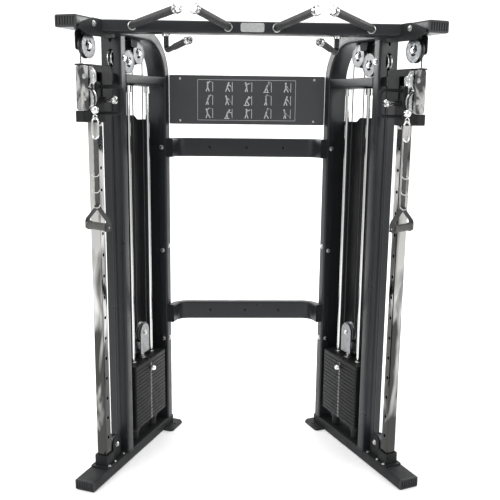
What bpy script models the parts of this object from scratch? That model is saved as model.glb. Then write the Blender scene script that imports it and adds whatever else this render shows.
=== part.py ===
"""Functional trainer: two toed-in weight towers joined by a top beam and two crossbars.

Each tower is drawn in its own tower space: x points inwards to the machine's centre plane,
y points rearwards along the base tube and z points up.  TOWER turns tower space into the world,
where +Z is up, the front faces -Y and the origin is the bottom centre of the whole machine.
"""
import math

import bmesh
import bpy
from mathutils import Matrix, Vector

# Stance of the towers
TOE = math.radians(22.0)        # each tower turns this far inwards at the back
TOWER_X = 0.738                 # centre plane to the tower axis, at the front tip of the base
MID_Y = 0.3029                  # front tip of the base tubes back to the origin
GAP = 0.0003                    # clearance between pieces that touch

# Frame tubes
TUBE_W = 0.100
TUBE_D = 0.050
WALL = 0.003
CORNER = 0.008
BASE_LENGTH = 0.800
COLUMN_SIDE = 0.048
COLUMN_Y = 0.168                # centre of the chrome column
COLUMN_TOP = 1.860
FRONT_UPRIGHT_Y = 0.335
REAR_UPRIGHT_Y = 0.772
BOOM_Z = 2.046                  # centre height of the boom and of the top beam
BOOM_FRONT_Y = -0.024
ARCH_RADIUS = 0.205             # centreline bend from rear upright to boom
RAIL_LOW, RAIL_HIGH = 1.818, 1.858

# Pulleys and cables
PULLEY_R, CABLE_RUN_R = 0.053, 0.0485
SMALL_R, SMALL_RUN_R = 0.044, 0.040
SWIVEL_R, SWIVEL_RUN_R = 0.042, 0.038
PULLEY_W = 0.020
CABLE_R = 0.0028
SWIVEL_Y = 0.0715               # vertical swivel axis, in front of the column
STACK_Y = 0.553
TOP_PULLEY = (SWIVEL_Y + CABLE_RUN_R, 1.962)
TOWER_REAR = (STACK_Y, 1.962)
TOWER_FRONT = (STACK_Y - 2 * CABLE_RUN_R, 1.916)
WINDOW_PULLEY = (0.342, TOWER_FRONT[1] + CABLE_RUN_R - SMALL_RUN_R)
LOW_PULLEY = (0.252, 0.115)
FLOATING = (STACK_Y, 0.588)

# Weight stack
PLATE_HALF_W, PLATE_HALF_L = 0.051, 0.160
PLATE_T, PLATE_PITCH = 0.0185, 0.019
STACK_LOW = 0.130
RESTING = 14
ROD_OFFSET = 0.095
ROD_R = 0.010
SELECTOR_R = 0.011
PIN_R = 0.0045
PIN_Z = STACK_LOW + RESTING * PLATE_PITCH + PLATE_T / 2
HEAD_LOW = STACK_LOW + (RESTING + 2) * PLATE_PITCH
HEAD_T = 0.0225

# Trolley
HOLE_PITCH = 0.097
HOLE_TOP = 1.741
HOLES = 17
HOLE_R = 0.0075
SLEEVE_HALF = 0.0345
SLEEVE_LOW, SLEEVE_HIGH = 1.647, 1.812
EAR_Z = 1.885                   # top of the upper swivel ear
SWIVEL_ANGLE = math.radians(74.0)   # swivel direction, from straight ahead towards the centre
UPPER_SWIVEL_Z, LOWER_SWIVEL_Z = 1.834, 1.746
HOOK_Z = 1.667                  # where the carabiner hangs in the eye
BALL_Z, BALL_R = 1.699, 0.017
GRIP_Z, GRIP_R, GRIP_HALF = 1.213, 0.0165, 0.056

# Top beam, handles, crossbars and placard (world x, distance behind the base tips, height)
BEAM_FRONT = 0.119
HANDLE_R, HANDLE_CAP_R = 0.016, 0.0205
J_R, J_CAP_R = 0.0135, 0.0175
CROSSBAR_H, CROSSBAR_D = 0.095, 0.040
CROSSBAR_Y, CROSSBAR_BEND = 0.750, 0.085
CROSSBAR_HEIGHTS = (0.643, 1.512)
PLACARD_Y, PLACARD_LOW, PLACARD_HIGH = 0.7125, 1.630, 1.873

SIDES = {"left": -1, "right": 1}

for old in list(bpy.data.objects):
    bpy.data.objects.remove(old, do_unlink=True)

trainer = bpy.data.collections.new("functional_trainer")
cutters = bpy.data.collections.new("cutters")
bpy.context.scene.collection.children.link(trainer)
bpy.context.scene.collection.children.link(cutters)

WORLD = Matrix.Translation((0, -MID_Y, 0))
LEFT_STANCE = Matrix.Translation((-TOWER_X, 0, 0)) @ Matrix.Rotation(-TOE, 4, "Z")
STANCE = {"left": LEFT_STANCE, "right": Matrix.Scale(-1, 4, (1, 0, 0)) @ LEFT_STANCE}
TOWER = {side: WORLD @ stance for side, stance in STANCE.items()}

# Planes for flat outlines: (u, v) drawn in the plane, w through the thickness
FLOOR_PLANE = Matrix.Identity(4)
SIDE_PLANE = Matrix(((0, 0, 1, 0), (1, 0, 0, 0), (0, 1, 0, 0), (0, 0, 0, 1)))   # u=y, v=z, w=x
FRONT_PLANE = Matrix(((1, 0, 0, 0), (0, 0, -1, 0), (0, 1, 0, 0), (0, 0, 0, 1)))  # u=x, v=z, w=-y


# ---------------------------------------------------------------- materials
def paint(name, colour, roughness, metallic):
    material = bpy.data.materials.new(name)
    material.use_nodes = True
    shader = material.node_tree.nodes["Principled BSDF"]
    shader.inputs["Base Color"].default_value = (*colour, 1.0)
    shader.inputs["Roughness"].default_value = roughness
    shader.inputs["Metallic"].default_value = metallic
    material.diffuse_color = (*colour, 1.0)
    return material


FINISH = {
    "black_paint": ((0.020, 0.021, 0.023), 0.42, 0.0),
    "chrome": ((0.80, 0.80, 0.80), 0.12, 1.0),
    "steel": ((0.55, 0.56, 0.57), 0.30, 1.0),
    "aluminium": ((0.62, 0.63, 0.64), 0.35, 1.0),
    "cast_black": ((0.018, 0.018, 0.019), 0.60, 0.0),
    "rubber": ((0.022, 0.022, 0.022), 0.75, 0.0),
    "cable": ((0.015, 0.015, 0.015), 0.45, 0.0),
    "webbing": ((0.018, 0.018, 0.018), 0.85, 0.0),
    "placard": ((0.035, 0.036, 0.038), 0.50, 0.0),
}


# ---------------------------------------------------------------- shapes, each a bmesh
def box(x0, x1, y0, y1, z0, z1, bevel=0.0):
    shape = bmesh.new()
    bmesh.ops.create_cube(shape, size=1.0)
    size = Matrix.Diagonal((x1 - x0, y1 - y0, z1 - z0, 1))
    centre = Matrix.Translation(((x0 + x1) / 2, (y0 + y1) / 2, (z0 + z1) / 2))
    shape.transform(centre @ size)
    if bevel:
        bmesh.ops.bevel(shape, geom=shape.edges[:], offset=bevel, segments=1, affect="EDGES")
    return shape


def rod(start, end, radius, sides=12, end_radius=None):
    start, end = Vector(start), Vector(end)
    shape = bmesh.new()
    length = (end - start).length
    bmesh.ops.create_cone(shape, cap_ends=True, segments=sides, radius1=radius,
                          radius2=radius if end_radius is None else end_radius, depth=length)
    turn = (end - start).to_track_quat("Z", "Y").to_matrix().to_4x4()
    shape.transform(Matrix.Translation((start + end) / 2) @ turn)
    return shape


def turned(profile, centre, axis, sides=16):
    """Revolve a closed profile of (radius, height) points round an axis through centre."""
    shape = bmesh.new()
    ring = [shape.verts.new((radius, 0, height)) for radius, height in profile]
    edges = [shape.edges.new((ring[i - 1], ring[i])) for i in range(len(ring))]
    bmesh.ops.spin(shape, geom=ring + edges, cent=(0, 0, 0), axis=(0, 0, 1), dvec=(0, 0, 0),
                   angle=2 * math.pi, steps=sides, use_merge=True)
    bmesh.ops.remove_doubles(shape, verts=shape.verts[:], dist=1e-6)
    bmesh.ops.recalc_face_normals(shape, faces=shape.faces[:])
    turn = Vector(axis).to_track_quat("Z", "Y").to_matrix().to_4x4()
    shape.transform(Matrix.Translation(centre) @ turn)
    return shape


def washer(inner, outer, low, high, centre, axis, sides=16):
    return turned([(inner, low), (outer, low), (outer, high), (inner, high)], centre, axis, sides)


def ball(centre, radius):
    shape = bmesh.new()
    bmesh.ops.create_uvsphere(shape, u_segments=12, v_segments=7, radius=radius)
    shape.transform(Matrix.Translation(centre))
    return shape


def evaluated(data, modifier=None, settings=None):
    """Mesh of a curve or mesh, after one modifier if it's given, as a shape."""
    holder = bpy.data.objects.new("holder", data)
    bpy.context.scene.collection.objects.link(holder)
    if modifier:
        step = holder.modifiers.new("step", modifier)
        for name, value in settings.items():
            setattr(step, name, value)
    graph = bpy.context.evaluated_depsgraph_get()
    mesh = bpy.data.meshes.new_from_object(holder.evaluated_get(graph))
    shape = bmesh.new()
    shape.from_mesh(mesh)
    bpy.data.objects.remove(holder)
    bpy.data.meshes.remove(mesh)
    return shape


def mesh_of(name, shape):
    mesh = bpy.data.meshes.new(name)
    shape.to_mesh(mesh)
    shape.free()
    return mesh


def from_curve(curve):
    """Shape of a curve with its loose caps welded on."""
    shape = evaluated(curve)
    bmesh.ops.remove_doubles(shape, verts=shape.verts[:], dist=1e-6)
    bmesh.ops.recalc_face_normals(shape, faces=shape.faces[:])
    return shape


def combined(operation, first, others):
    """First shape with the others joined to it or cut out of it."""
    rest = bmesh.new()
    for shape in others:
        mesh = mesh_of("rest", shape)
        rest.from_mesh(mesh)
        bpy.data.meshes.remove(mesh)
    operand = bpy.data.objects.new("operand", mesh_of("operand", rest))
    bpy.context.scene.collection.objects.link(operand)
    result = evaluated(mesh_of("first", first), "BOOLEAN",
                       {"operation": operation, "solver": "EXACT", "use_self": True,
                        "object": operand})
    bpy.data.objects.remove(operand)
    return result


def fused(first, *others):
    return combined("UNION", first, others)


def without(first, *others):
    return combined("DIFFERENCE", first, others)


def walled(sheet, thickness=WALL):
    """Hollow tube or bent sheet from an open surface that is its outside."""
    return evaluated(mesh_of("sheet", sheet), "SOLIDIFY",
                     {"thickness": thickness, "offset": -1, "use_even_offset": True})


def flat(outlines, low, high, plane=FLOOR_PLANE):
    """Plate from a 2D outline and the outlines of its holes, between low and high."""
    curve = bpy.data.curves.new("outline", "CURVE")
    curve.dimensions = "2D"
    curve.fill_mode = "BOTH"
    curve.extrude = (high - low) / 2
    for outline in outlines:
        spline = curve.splines.new("POLY")
        spline.points.add(len(outline) - 1)
        spline.use_cyclic_u = True
        for point, (u, v) in zip(spline.points, outline):
            point.co = (u, v, 0, 1)
    shape = from_curve(curve)
    shape.transform(plane @ Matrix.Translation((0, 0, (low + high) / 2)))
    return shape


def wire(points, radius, closed=False, detail=2):
    """Round bar, cable or wire through the points."""
    curve = bpy.data.curves.new("wire", "CURVE")
    curve.dimensions = "3D"
    curve.bevel_depth = radius
    curve.bevel_resolution = detail
    curve.use_fill_caps = True
    spline = curve.splines.new("POLY")
    spline.points.add(len(points) - 1)
    spline.use_cyclic_u = closed
    for point, place in zip(spline.points, points):
        point.co = (*place, 1)
    return from_curve(curve)


def arc(cu, cv, radius, start, end, steps):
    """Points of an arc round (cu, cv), angles in degrees."""
    turns = [math.radians(start + (end - start) * i / steps) for i in range(steps + 1)]
    return [(cu + radius * math.cos(a), cv + radius * math.sin(a)) for a in turns]


def circle(cu, cv, radius, sides=12):
    return arc(cu, cv, radius, 0, 360 * (sides - 1) / sides, sides - 1)


def rounded(u0, u1, v0, v1, radius, steps=2):
    """Rectangle with round corners."""
    corners = ((u1, v1, 0), (u0, v1, 90), (u0, v0, 180), (u1, v0, 270))
    points = []
    for u, v, start in corners:
        cu = u - radius if u == u1 else u + radius
        cv = v - radius if v == v1 else v + radius
        points += arc(cu, cv, radius, start, start + 90, steps)
    return points


class Sleeve:
    """Open surface of a rectangular tube, drawn by moving its rounded outline along a path."""

    def __init__(self, width, depth, start):
        self.shape = bmesh.new()
        outline = rounded(-width / 2, width / 2, -depth / 2, depth / 2, CORNER)
        ring = [self.shape.verts.new(start @ Vector((u, v, 0))) for u, v in outline]
        self.end = [self.shape.edges.new((ring[i - 1], ring[i])) for i in range(len(ring))]

    def straight(self, step):
        grown = bmesh.ops.extrude_edge_only(self.shape, edges=self.end)["geom"]
        moved = [item for item in grown if isinstance(item, bmesh.types.BMVert)]
        bmesh.ops.translate(self.shape, verts=moved, vec=step)
        self.end = [item for item in grown if isinstance(item, bmesh.types.BMEdge)
                    and all(v in moved for v in item.verts)]
        return self

    def bend(self, centre, axis, angle, steps):
        grown = bmesh.ops.spin(self.shape, geom=self.end, cent=centre, axis=axis,
                               dvec=(0, 0, 0), angle=angle, steps=steps)["geom_last"]
        self.end = [item for item in grown if isinstance(item, bmesh.types.BMEdge)]
        return self

    def done(self):
        bmesh.ops.remove_doubles(self.shape, verts=self.shape.verts[:], dist=1e-6)
        bmesh.ops.recalc_face_normals(self.shape, faces=self.shape.faces[:])
        return self.shape

# ---------------------------------------------------------------- nodes
MATERIALS = {name: paint(name, *values) for name, values in FINISH.items()}
UP = Vector((0, 0, 1))
LAP = 0.001                     # how far shapes that are welded together run into each other


def placed(shape, matrix):
    """Move a shape; a mirrored one is turned right side out again."""
    shape.transform(matrix)
    if matrix.determinant() < 0:
        bmesh.ops.reverse_faces(shape, faces=shape.faces[:])
    return shape


def make(name, finish, shape, matrix=WORLD, origin=(0, 0, 0), smooth=False):
    """Add one closed shape as a node; origin is in the shape's own space."""
    placed(shape, matrix)
    place = matrix @ Vector(origin)
    shape.transform(Matrix.Translation(-place))
    mesh = mesh_of(name, shape)
    if smooth:
        mesh.shade_smooth()
        mesh.set_sharp_from_angle(angle=math.radians(35))
    mesh.materials.append(MATERIALS[finish])
    node = bpy.data.objects.new(name, mesh)
    node.location = place
    trainer.objects.link(node)
    return node


# ---------------------------------------------------------------- frame
PLATE_IN, PLATE_OUT = 0.0135, 0.0185       # bracket plates on each side of a pulley


def axle(place, x0, x1):
    y, z = place
    return rod((x0, y, z), (x1, y, z), 0.0060, 8)


def bolt_head(x, y, z, way, radius=0.010):
    """Hexagon head on a face that looks along way times x."""
    return rod((x - way * LAP, y, z), (x + way * 0.007, y, z), radius, 6)


def end_cap(low, high, y):
    """Plastic cap on a tube that ends towards the front at y."""
    half, inset = TUBE_W / 2 - GAP, GAP
    return flat([rounded(-half, half, low + inset, high - inset, CORNER - inset)],
                -y - LAP, 0.006 - y, FRONT_PLANE)


def base_tube():
    start = Matrix.Translation((0, 0, TUBE_D / 2)) @ Matrix.Rotation(math.radians(90), 4, "X")
    return walled(Sleeve(TUBE_W, TUBE_D, start).straight((0, BASE_LENGTH, 0)).done())


def front_upright():
    """Upright with openings for the window pulley and, above it, the cable to the top pulley."""
    start = Matrix.Translation((0, FRONT_UPRIGHT_Y, TUBE_D - LAP))
    height = BOOM_Z - TUBE_D / 2 - GAP - TUBE_D + LAP
    upright = walled(Sleeve(TUBE_W, TUBE_D, start).straight((0, 0, height)).done())
    pulley_z = WINDOW_PULLEY[1]
    low_y, high_y = FRONT_UPRIGHT_Y - TUBE_D, FRONT_UPRIGHT_Y + TUBE_D
    front = rounded(-0.0145, 0.0145, pulley_z - 0.038, pulley_z + 0.038, 0.0125)
    rear = rounded(-0.0145, 0.0145, pulley_z - 0.047, pulley_z + 0.047, 0.0140)
    slot = rounded(-0.0055, 0.0055, 1.994, 2.019, 0.0050)
    return without(upright,
                   flat([front], -FRONT_UPRIGHT_Y, -low_y, FRONT_PLANE),
                   flat([rear], -high_y, -FRONT_UPRIGHT_Y, FRONT_PLANE),
                   flat([slot], -high_y, -low_y, FRONT_PLANE))


def foot_plate():
    """Plate round the back of the base tube, with anchor holes."""
    inner, outer, front, rear, chamfer = TUBE_W / 2 - LAP, 0.100, 0.690, 0.837, 0.028
    notch = BASE_LENGTH + 0.0066
    outline = [(inner, front), (outer - 0.012, front), (outer, front + 0.020),
               (outer, rear - chamfer), (outer - chamfer, rear), (chamfer - outer, rear),
               (-outer, rear - chamfer), (-outer, front + 0.020), (0.012 - outer, front),
               (-inner, front), (-inner, notch), (inner, notch)]
    holes = [circle(x, 0.770, 0.006, 8) for x in (-0.076, 0.076)]
    return flat([outline, *holes], 0, 0.008)


def column_shoe():
    """Welded flange and square collar that hold the column's foot."""
    half = COLUMN_SIDE / 2 + GAP
    hole = [(-half, COLUMN_Y - half), (half, COLUMN_Y - half),
            (half, COLUMN_Y + half), (-half, COLUMN_Y + half)]
    collar = rounded(-0.033, 0.033, COLUMN_Y - 0.033, COLUMN_Y + 0.033, 0.005)
    flange = rounded(-0.046, 0.046, COLUMN_Y - 0.050, COLUMN_Y + 0.040, 0.006)
    return [flat([flange, hole], TUBE_D - LAP, 0.0563), flat([collar, hole], 0.0553, 0.1055)]


def base_frame():
    """Base tube, front upright, foot plates and everything welded or bolted to them."""
    low_y, low_z = LOW_PULLEY
    foot = [(low_y - 0.034, TUBE_D - LAP), (low_y + 0.034, TUBE_D - LAP),
            *arc(low_y, low_z + 0.010, 0.034, 0, 180, 8)]
    column_rear = COLUMN_Y + COLUMN_SIDE / 2 + GAP
    upright_front = FRONT_UPRIGHT_Y - TUBE_D / 2 + LAP
    window_half = TUBE_W / 2 - WALL + LAP
    parts = [base_tube(), end_cap(0, TUBE_D, 0), foot_plate(), *column_shoe(),
             flat([foot], -PLATE_OUT, -PLATE_IN, SIDE_PLANE),
             flat([foot], PLATE_IN, PLATE_OUT, SIDE_PLANE),
             axle(LOW_PULLEY, -PLATE_OUT + LAP, PLATE_OUT - LAP),
             axle(WINDOW_PULLEY, -window_half, window_half)]
    for way in (-1, 1):
        parts.append(box(way * 0.020 - 0.004, way * 0.020 + 0.004, column_rear, upright_front,
                         RAIL_LOW, RAIL_HIGH))
        parts.append(bolt_head(way * PLATE_OUT, *LOW_PULLEY, way))
        parts.append(bolt_head(way * TUBE_W / 2, *WINDOW_PULLEY, way))
    for x, y, floor in ((0.030, 0.290, TUBE_D), (-0.030, 0.290, TUBE_D),
                        (0.039, 0.145, 0.0563), (0.039, 0.195, 0.0563)):
        parts.append(rod((x, y, floor - LAP), (x, y, floor + 0.006), 0.0065, 6))
    return fused(front_upright(), *parts)


def arch_tube():
    """Rear upright, bend and boom in one tube."""
    bend_z = BOOM_Z - ARCH_RADIUS
    start = Matrix.Translation((0, REAR_UPRIGHT_Y, TUBE_D + GAP))
    tube = Sleeve(TUBE_W, TUBE_D, start).straight((0, 0, bend_z - TUBE_D - GAP))
    tube.bend((0, REAR_UPRIGHT_Y - ARCH_RADIUS, bend_z), (1, 0, 0), math.radians(90), 6)
    tube.straight((0, BOOM_FRONT_Y - (REAR_UPRIGHT_Y - ARCH_RADIUS), 0))
    return walled(tube.done())


def arch_frame():
    """Arch tube with its rails, pulley brackets, axles and the flange for the top beam."""
    top_y, top_z = TOP_PULLEY
    under, lap = BOOM_Z - TUBE_D / 2, BOOM_Z - TUBE_D / 2 + LAP
    outer = rounded(top_y - 0.060, top_y + 0.060, top_z - 0.020, lap, 0.010)
    lip = rounded(top_y - 0.060, top_y + 0.060, under - 0.018, lap, 0.004)
    hanger = [(0.400, lap), (0.400, 1.930), *arc(0.434, 1.912, 0.030, 180, 270, 3),
              *arc(0.575, 1.945, 0.035, 300, 360, 3), (0.610, lap)]
    tab = [(0.470, 1.984), (0.520, 1.984), (0.530, lap), (0.460, lap)]
    flange = [(-0.020, 2.0213), (0.050, 1.998), (0.190, 1.998), (0.255, 2.004),
              (0.255, 2.0700), (0.085, 2.0700), (-0.020, 2.034)]
    face = TUBE_W / 2
    parts = [end_cap(BOOM_Z - TUBE_D / 2, BOOM_Z + TUBE_D / 2, BOOM_FRONT_Y),
             flat([outer], -PLATE_OUT, -PLATE_IN, SIDE_PLANE),
             flat([lip], PLATE_IN, PLATE_OUT, SIDE_PLANE),
             flat([hanger], -PLATE_OUT, -PLATE_IN, SIDE_PLANE),
             flat([tab], PLATE_IN, PLATE_OUT, SIDE_PLANE),
             flat([flange], face - LAP, face + 0.006, SIDE_PLANE)]
    front, rear = FRONT_UPRIGHT_Y + TUBE_D / 2 + GAP, REAR_UPRIGHT_Y - TUBE_D / 2 + LAP
    parts += [box(x - 0.0125, x + 0.0125, front, rear, RAIL_LOW, RAIL_HIGH, 0.003)
              for x in (-0.0370, 0.0370)]
    for place in (TOP_PULLEY, TOWER_REAR, TOWER_FRONT):
        parts += [axle(place, -PLATE_OUT + LAP, PULLEY_W / 2 + 0.005),
                  bolt_head(PULLEY_W / 2 + 0.0045, *place, 1), bolt_head(-PLATE_OUT, *place, -1)]
    parts += [bolt_head(way * face, REAR_UPRIGHT_Y, z, way) for way in (-1, 1)
              for z in (0.500, 1.000)]
    parts.append(bolt_head(face + 0.006, 0.088, BOOM_Z, 1))
    upright_front = REAR_UPRIGHT_Y - TUBE_D / 2
    parts += [rod((0.025, upright_front + LAP, z), (0.025, upright_front - 0.006, z), 0.009, 6)
              for z in (0.500, 0.980, 1.512)]
    return fused(arch_tube(), *parts)


def column():
    """Chrome tube with a row of adjustment holes in its inner side."""
    start = Matrix.Translation((0, COLUMN_Y, TUBE_D + GAP))
    tube = walled(Sleeve(COLUMN_SIDE, COLUMN_SIDE, start)
                  .straight((0, 0, COLUMN_TOP - TUBE_D - GAP)).done())
    heights = [HOLE_TOP - i * HOLE_PITCH for i in range(HOLES)]
    return without(tube, *(rod((0.010, COLUMN_Y, z), (0.040, COLUMN_Y, z), HOLE_R, 8)
                           for z in heights))


def guide_rods():
    """Both rods with their feet, stops and the yoke that holds them under the rails."""
    ends = (STACK_Y - ROD_OFFSET, STACK_Y + ROD_OFFSET)
    top = RAIL_LOW - GAP
    holes = [circle(0, STACK_Y + way * CABLE_RUN_R, 0.009, 8) for way in (-1, 1)]
    yoke = flat([rounded(-0.048, 0.048, ends[0] - 0.020, ends[1] + 0.020, 0.006), *holes],
                top - 0.008, top)
    parts = []
    for y in ends:
        parts.append(rod((0, y, TUBE_D + GAP), (0, y, top - 0.003), ROD_R, 16))
        parts.append(rod((0, y, top - 0.040), (0, y, top - 0.0075), 0.018, 12))
        parts.append(rod((0, y, TUBE_D + GAP), (0, y, 0.0950), 0.022, 12))
        parts.append(rod((0, y, 0.0940), (0, y, STACK_LOW - GAP), 0.028, 12))
    return fused(yoke, *parts)


def shroud():
    """Folded sheet on the outer side, with a return in front of each upright."""
    low, high, drop = 0.062, 1.672, 0.020
    plan = [(-0.020, 0.3635), (-0.056, 0.3635), (-0.056, 0.470), (-0.062, 0.482),
            (-0.062, 0.600), (-0.056, 0.612), (-0.056, 0.626), (-0.056, 0.640),
            (-0.056, 0.654), (-0.056, 0.7445), (0.013, 0.7445)]
    shape = bmesh.new()
    columns = []
    for x, y in plan:
        slope = min(max((y - 0.612) / 0.042, 0.0), 1.0)
        top = high - drop * slope * slope * (3 - 2 * slope)
        columns.append((shape.verts.new((x, y, low)), shape.verts.new((x, y, top))))
    for (low_a, high_a), (low_b, high_b) in zip(columns, columns[1:]):
        shape.faces.new((low_a, low_b, high_b, high_a))
    return walled(shape, 0.0015)


# ---------------------------------------------------------------- pulleys and cables
def pulley(radius, centre, axis=(1, 0, 0)):
    """Grooved wheel with a bolt hole, its axle along axis."""
    half, groove = PULLEY_W / 2, radius - 0.0085
    profile = [(0.0067, -half), (radius, -half), (radius, -half + 0.0025), (groove, -0.0035),
               (groove, 0.0035), (radius, half - 0.0025), (radius, half), (0.0067, half)]
    return turned(profile, centre, axis, 12)


def over(place, radius, start, end, steps=6):
    """Cable round a pulley from one angle to another, in the plane x = 0."""
    return [(0, y, z) for y, z in arc(*place, radius, start, end, steps)]


def upper_run():
    """From the stack over the rear tower pulley and the top pulley, to the swivel's axis."""
    return wire([(0, STACK_Y + CABLE_RUN_R, TOWER_FRONT[1] + GAP),
                 *over(TOWER_REAR, CABLE_RUN_R, 0, 90), *over(TOP_PULLEY, CABLE_RUN_R, 90, 180)],
                CABLE_R, detail=1)


def lower_run():
    """From the stack over two pulleys, down the front upright and under the low pulley."""
    return wire([*over(TOWER_FRONT, CABLE_RUN_R, 0, 90), *over(WINDOW_PULLEY, SMALL_RUN_R, 90, 180),
                 *over(LOW_PULLEY, SMALL_RUN_R, 360, 180, 8)], CABLE_R, detail=1)


def stack_cable():
    """Loop that the floating pulley hangs in."""
    top = TOWER_FRONT[1] - GAP
    return wire([(0, STACK_Y - CABLE_RUN_R, top), *over(FLOATING, CABLE_RUN_R, 180, 360, 8),
                 (0, STACK_Y + CABLE_RUN_R, top)], CABLE_R, detail=1)


# ---------------------------------------------------------------- weight stack
def plates(lows, thicknesses):
    """Plates on a core that stands back from their edges, with holes for the guide rods."""
    def slab(low, high, inset):
        return flat([rounded(inset - PLATE_HALF_W, PLATE_HALF_W - inset,
                             STACK_Y - PLATE_HALF_L + inset, STACK_Y + PLATE_HALF_L - inset,
                             0.006, 1)], low, high)

    slabs = [slab(low, low + thick, 0) for low, thick in zip(lows, thicknesses)]
    core = slab(lows[0] + 0.002, lows[-1] + 0.002, 0.004)
    return fused(core, *slabs)


def upright_hole(y, radius):
    return rod((0, y, STACK_LOW - 0.01), (0, y, HEAD_LOW + HEAD_T + 0.01), radius, 8)


def resting_plates():
    lows = [STACK_LOW + i * PLATE_PITCH for i in range(RESTING)]
    return without(plates(lows, [PLATE_T] * RESTING), upright_hole(STACK_Y, 0.0135),
                   *(upright_hole(STACK_Y + way * ROD_OFFSET, 0.0135) for way in (-1, 1)))


def pin_hole(x0, x1):
    return rod((x0, STACK_Y, PIN_Z), (x1, STACK_Y, PIN_Z), PIN_R + 0.001, 8)


def lifted_stack():
    """Selected plates, head plate, selector rod and the fork for the floating pulley."""
    y, z = FLOATING
    head_top = HEAD_LOW + HEAD_T
    lows = [STACK_LOW + i * PLATE_PITCH for i in (RESTING, RESTING + 1)] + [HEAD_LOW]
    selected = without(plates(lows, [PLATE_T, PLATE_T, HEAD_T]),
                       *(upright_hole(STACK_Y + way * ROD_OFFSET, 0.0135) for way in (-1, 1)))
    fork = [(y - 0.044, head_top + 0.027), (y + 0.044, head_top + 0.027),
            *arc(y, z + 0.004, 0.044, 0, 180, 8)]
    parts = [rod((0, y, STACK_LOW + 0.004), (0, y, head_top + 0.028), SELECTOR_R, 12),
             rod((0, y, head_top - LAP), (0, y, head_top + 0.010), 0.020, 6),
             box(-PLATE_OUT + LAP, PLATE_OUT - LAP, y - 0.021, y + 0.021, head_top + 0.0265,
                 head_top + 0.0317),
             axle(FLOATING, -PLATE_OUT + LAP, PLATE_OUT - LAP)]
    for way, low, high in ((-1, -PLATE_OUT, -PLATE_IN), (1, PLATE_IN, PLATE_OUT)):
        parts += [flat([fork], low, high, SIDE_PLANE), bolt_head(way * PLATE_OUT, *FLOATING, way)]
    return without(fused(selected, *parts), pin_hole(-0.020, 0.060))


def selector_pin():
    face = PLATE_HALF_W + 0.002
    profile = [(0, -0.009), (PIN_R, -0.009), (PIN_R, face), (0.008, face), (0.013, face + 0.006),
               (0.013, face + 0.014), (0.009, face + 0.020), (0, face + 0.020)]
    return turned(profile, (0, STACK_Y, PIN_Z), (1, 0, 0), 12)


# ---------------------------------------------------------------- trolley
def trolley():
    """Sleeve on the column with the swivel's ears, the grab handle and the cable lug."""
    half, bore = SLEEVE_HALF, COLUMN_SIDE / 2 + 0.0015
    outside = rounded(-half, half, COLUMN_Y - half, COLUMN_Y + half, 0.006)
    inside = rounded(-bore, bore, COLUMN_Y - bore, COLUMN_Y + bore, 0.006)
    front = COLUMN_Y - half
    ear = [(-0.026, front), (-0.026, SWIVEL_Y), *arc(0, SWIVEL_Y, 0.026, 180, 360, 8)[1:-1],
           (0.026, SWIVEL_Y), (0.026, SWIVEL_Y + 0.010), (half + 0.002, SWIVEL_Y + 0.030),
           (half + 0.002, front)]
    seven = [(0.085, EAR_Z - 0.030), (0.170, EAR_Z - 0.030), (0.170, 1.745), (0.252, 1.745),
             *arc(0.234, EAR_Z - 0.0184, 0.018, 0, 90, 4), (0.085, EAR_Z - 0.0004)]
    bar_y, top, low, reach, bend = 0.153, 1.795, 1.684, 0.146, 0.026
    loop = [(half - 0.004, top), *arc(reach - bend, top - bend, bend, 90, 0, 5),
            *arc(reach - bend, low + bend, bend, 0, -90, 5), (half - 0.004, low)]
    parts = [flat([ear], EAR_Z - 0.0055, EAR_Z),
             flat([seven], half - LAP, half + 0.006, SIDE_PLANE),
             wire([(x, bar_y, z) for x, z in loop], 0.008),
             rod((half - 0.002, COLUMN_Y, HOLE_TOP), (0.060, COLUMN_Y, HOLE_TOP), 0.0125, 12),
             box(-0.020, 0.020, SWIVEL_Y - 0.022, front + LAP, SLEEVE_LOW + 0.0005, 1.6950, 0.003),
             box(-0.010, 0.010, COLUMN_Y + half - LAP, COLUMN_Y + half + 0.020,
                 SLEEVE_LOW + 0.001, SLEEVE_LOW + 0.034, 0.002)]
    body = fused(flat([outside, inside], SLEEVE_LOW, SLEEVE_HIGH), *parts)
    return without(body, rod((0.020, COLUMN_Y, HOLE_TOP), (0.070, COLUMN_Y, HOLE_TOP), 0.0070, 12),
                   rod((0, SWIVEL_Y, 1.860), (0, SWIVEL_Y, 1.900), 0.0098, 12))


def pop_pin():
    """Locking pin and its knob, drawn pulled out so that the trolley is free to travel."""
    tip = COLUMN_SIDE / 2 + 0.0008          # pulled back out of the column's hole
    profile = [(0, tip), (0.0060, tip), (0.0060, 0.0725), (0.009, 0.0735), (0.009, 0.084),
               (0.015, 0.090), (0.0175, 0.098), (0.015, 0.107), (0, 0.110)]
    return turned(profile, (0, COLUMN_Y, HOLE_TOP), (1, 0, 0), 12)


# Swivel space: x outwards along the swivel, y across it, z up, on the swivel's axis
SWIVEL = Matrix.Translation((0, SWIVEL_Y, 0)) @ Matrix.Rotation(SWIVEL_ANGLE - math.pi / 2, 4, "Z")
HANG_X = 2 * SWIVEL_RUN_R


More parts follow.
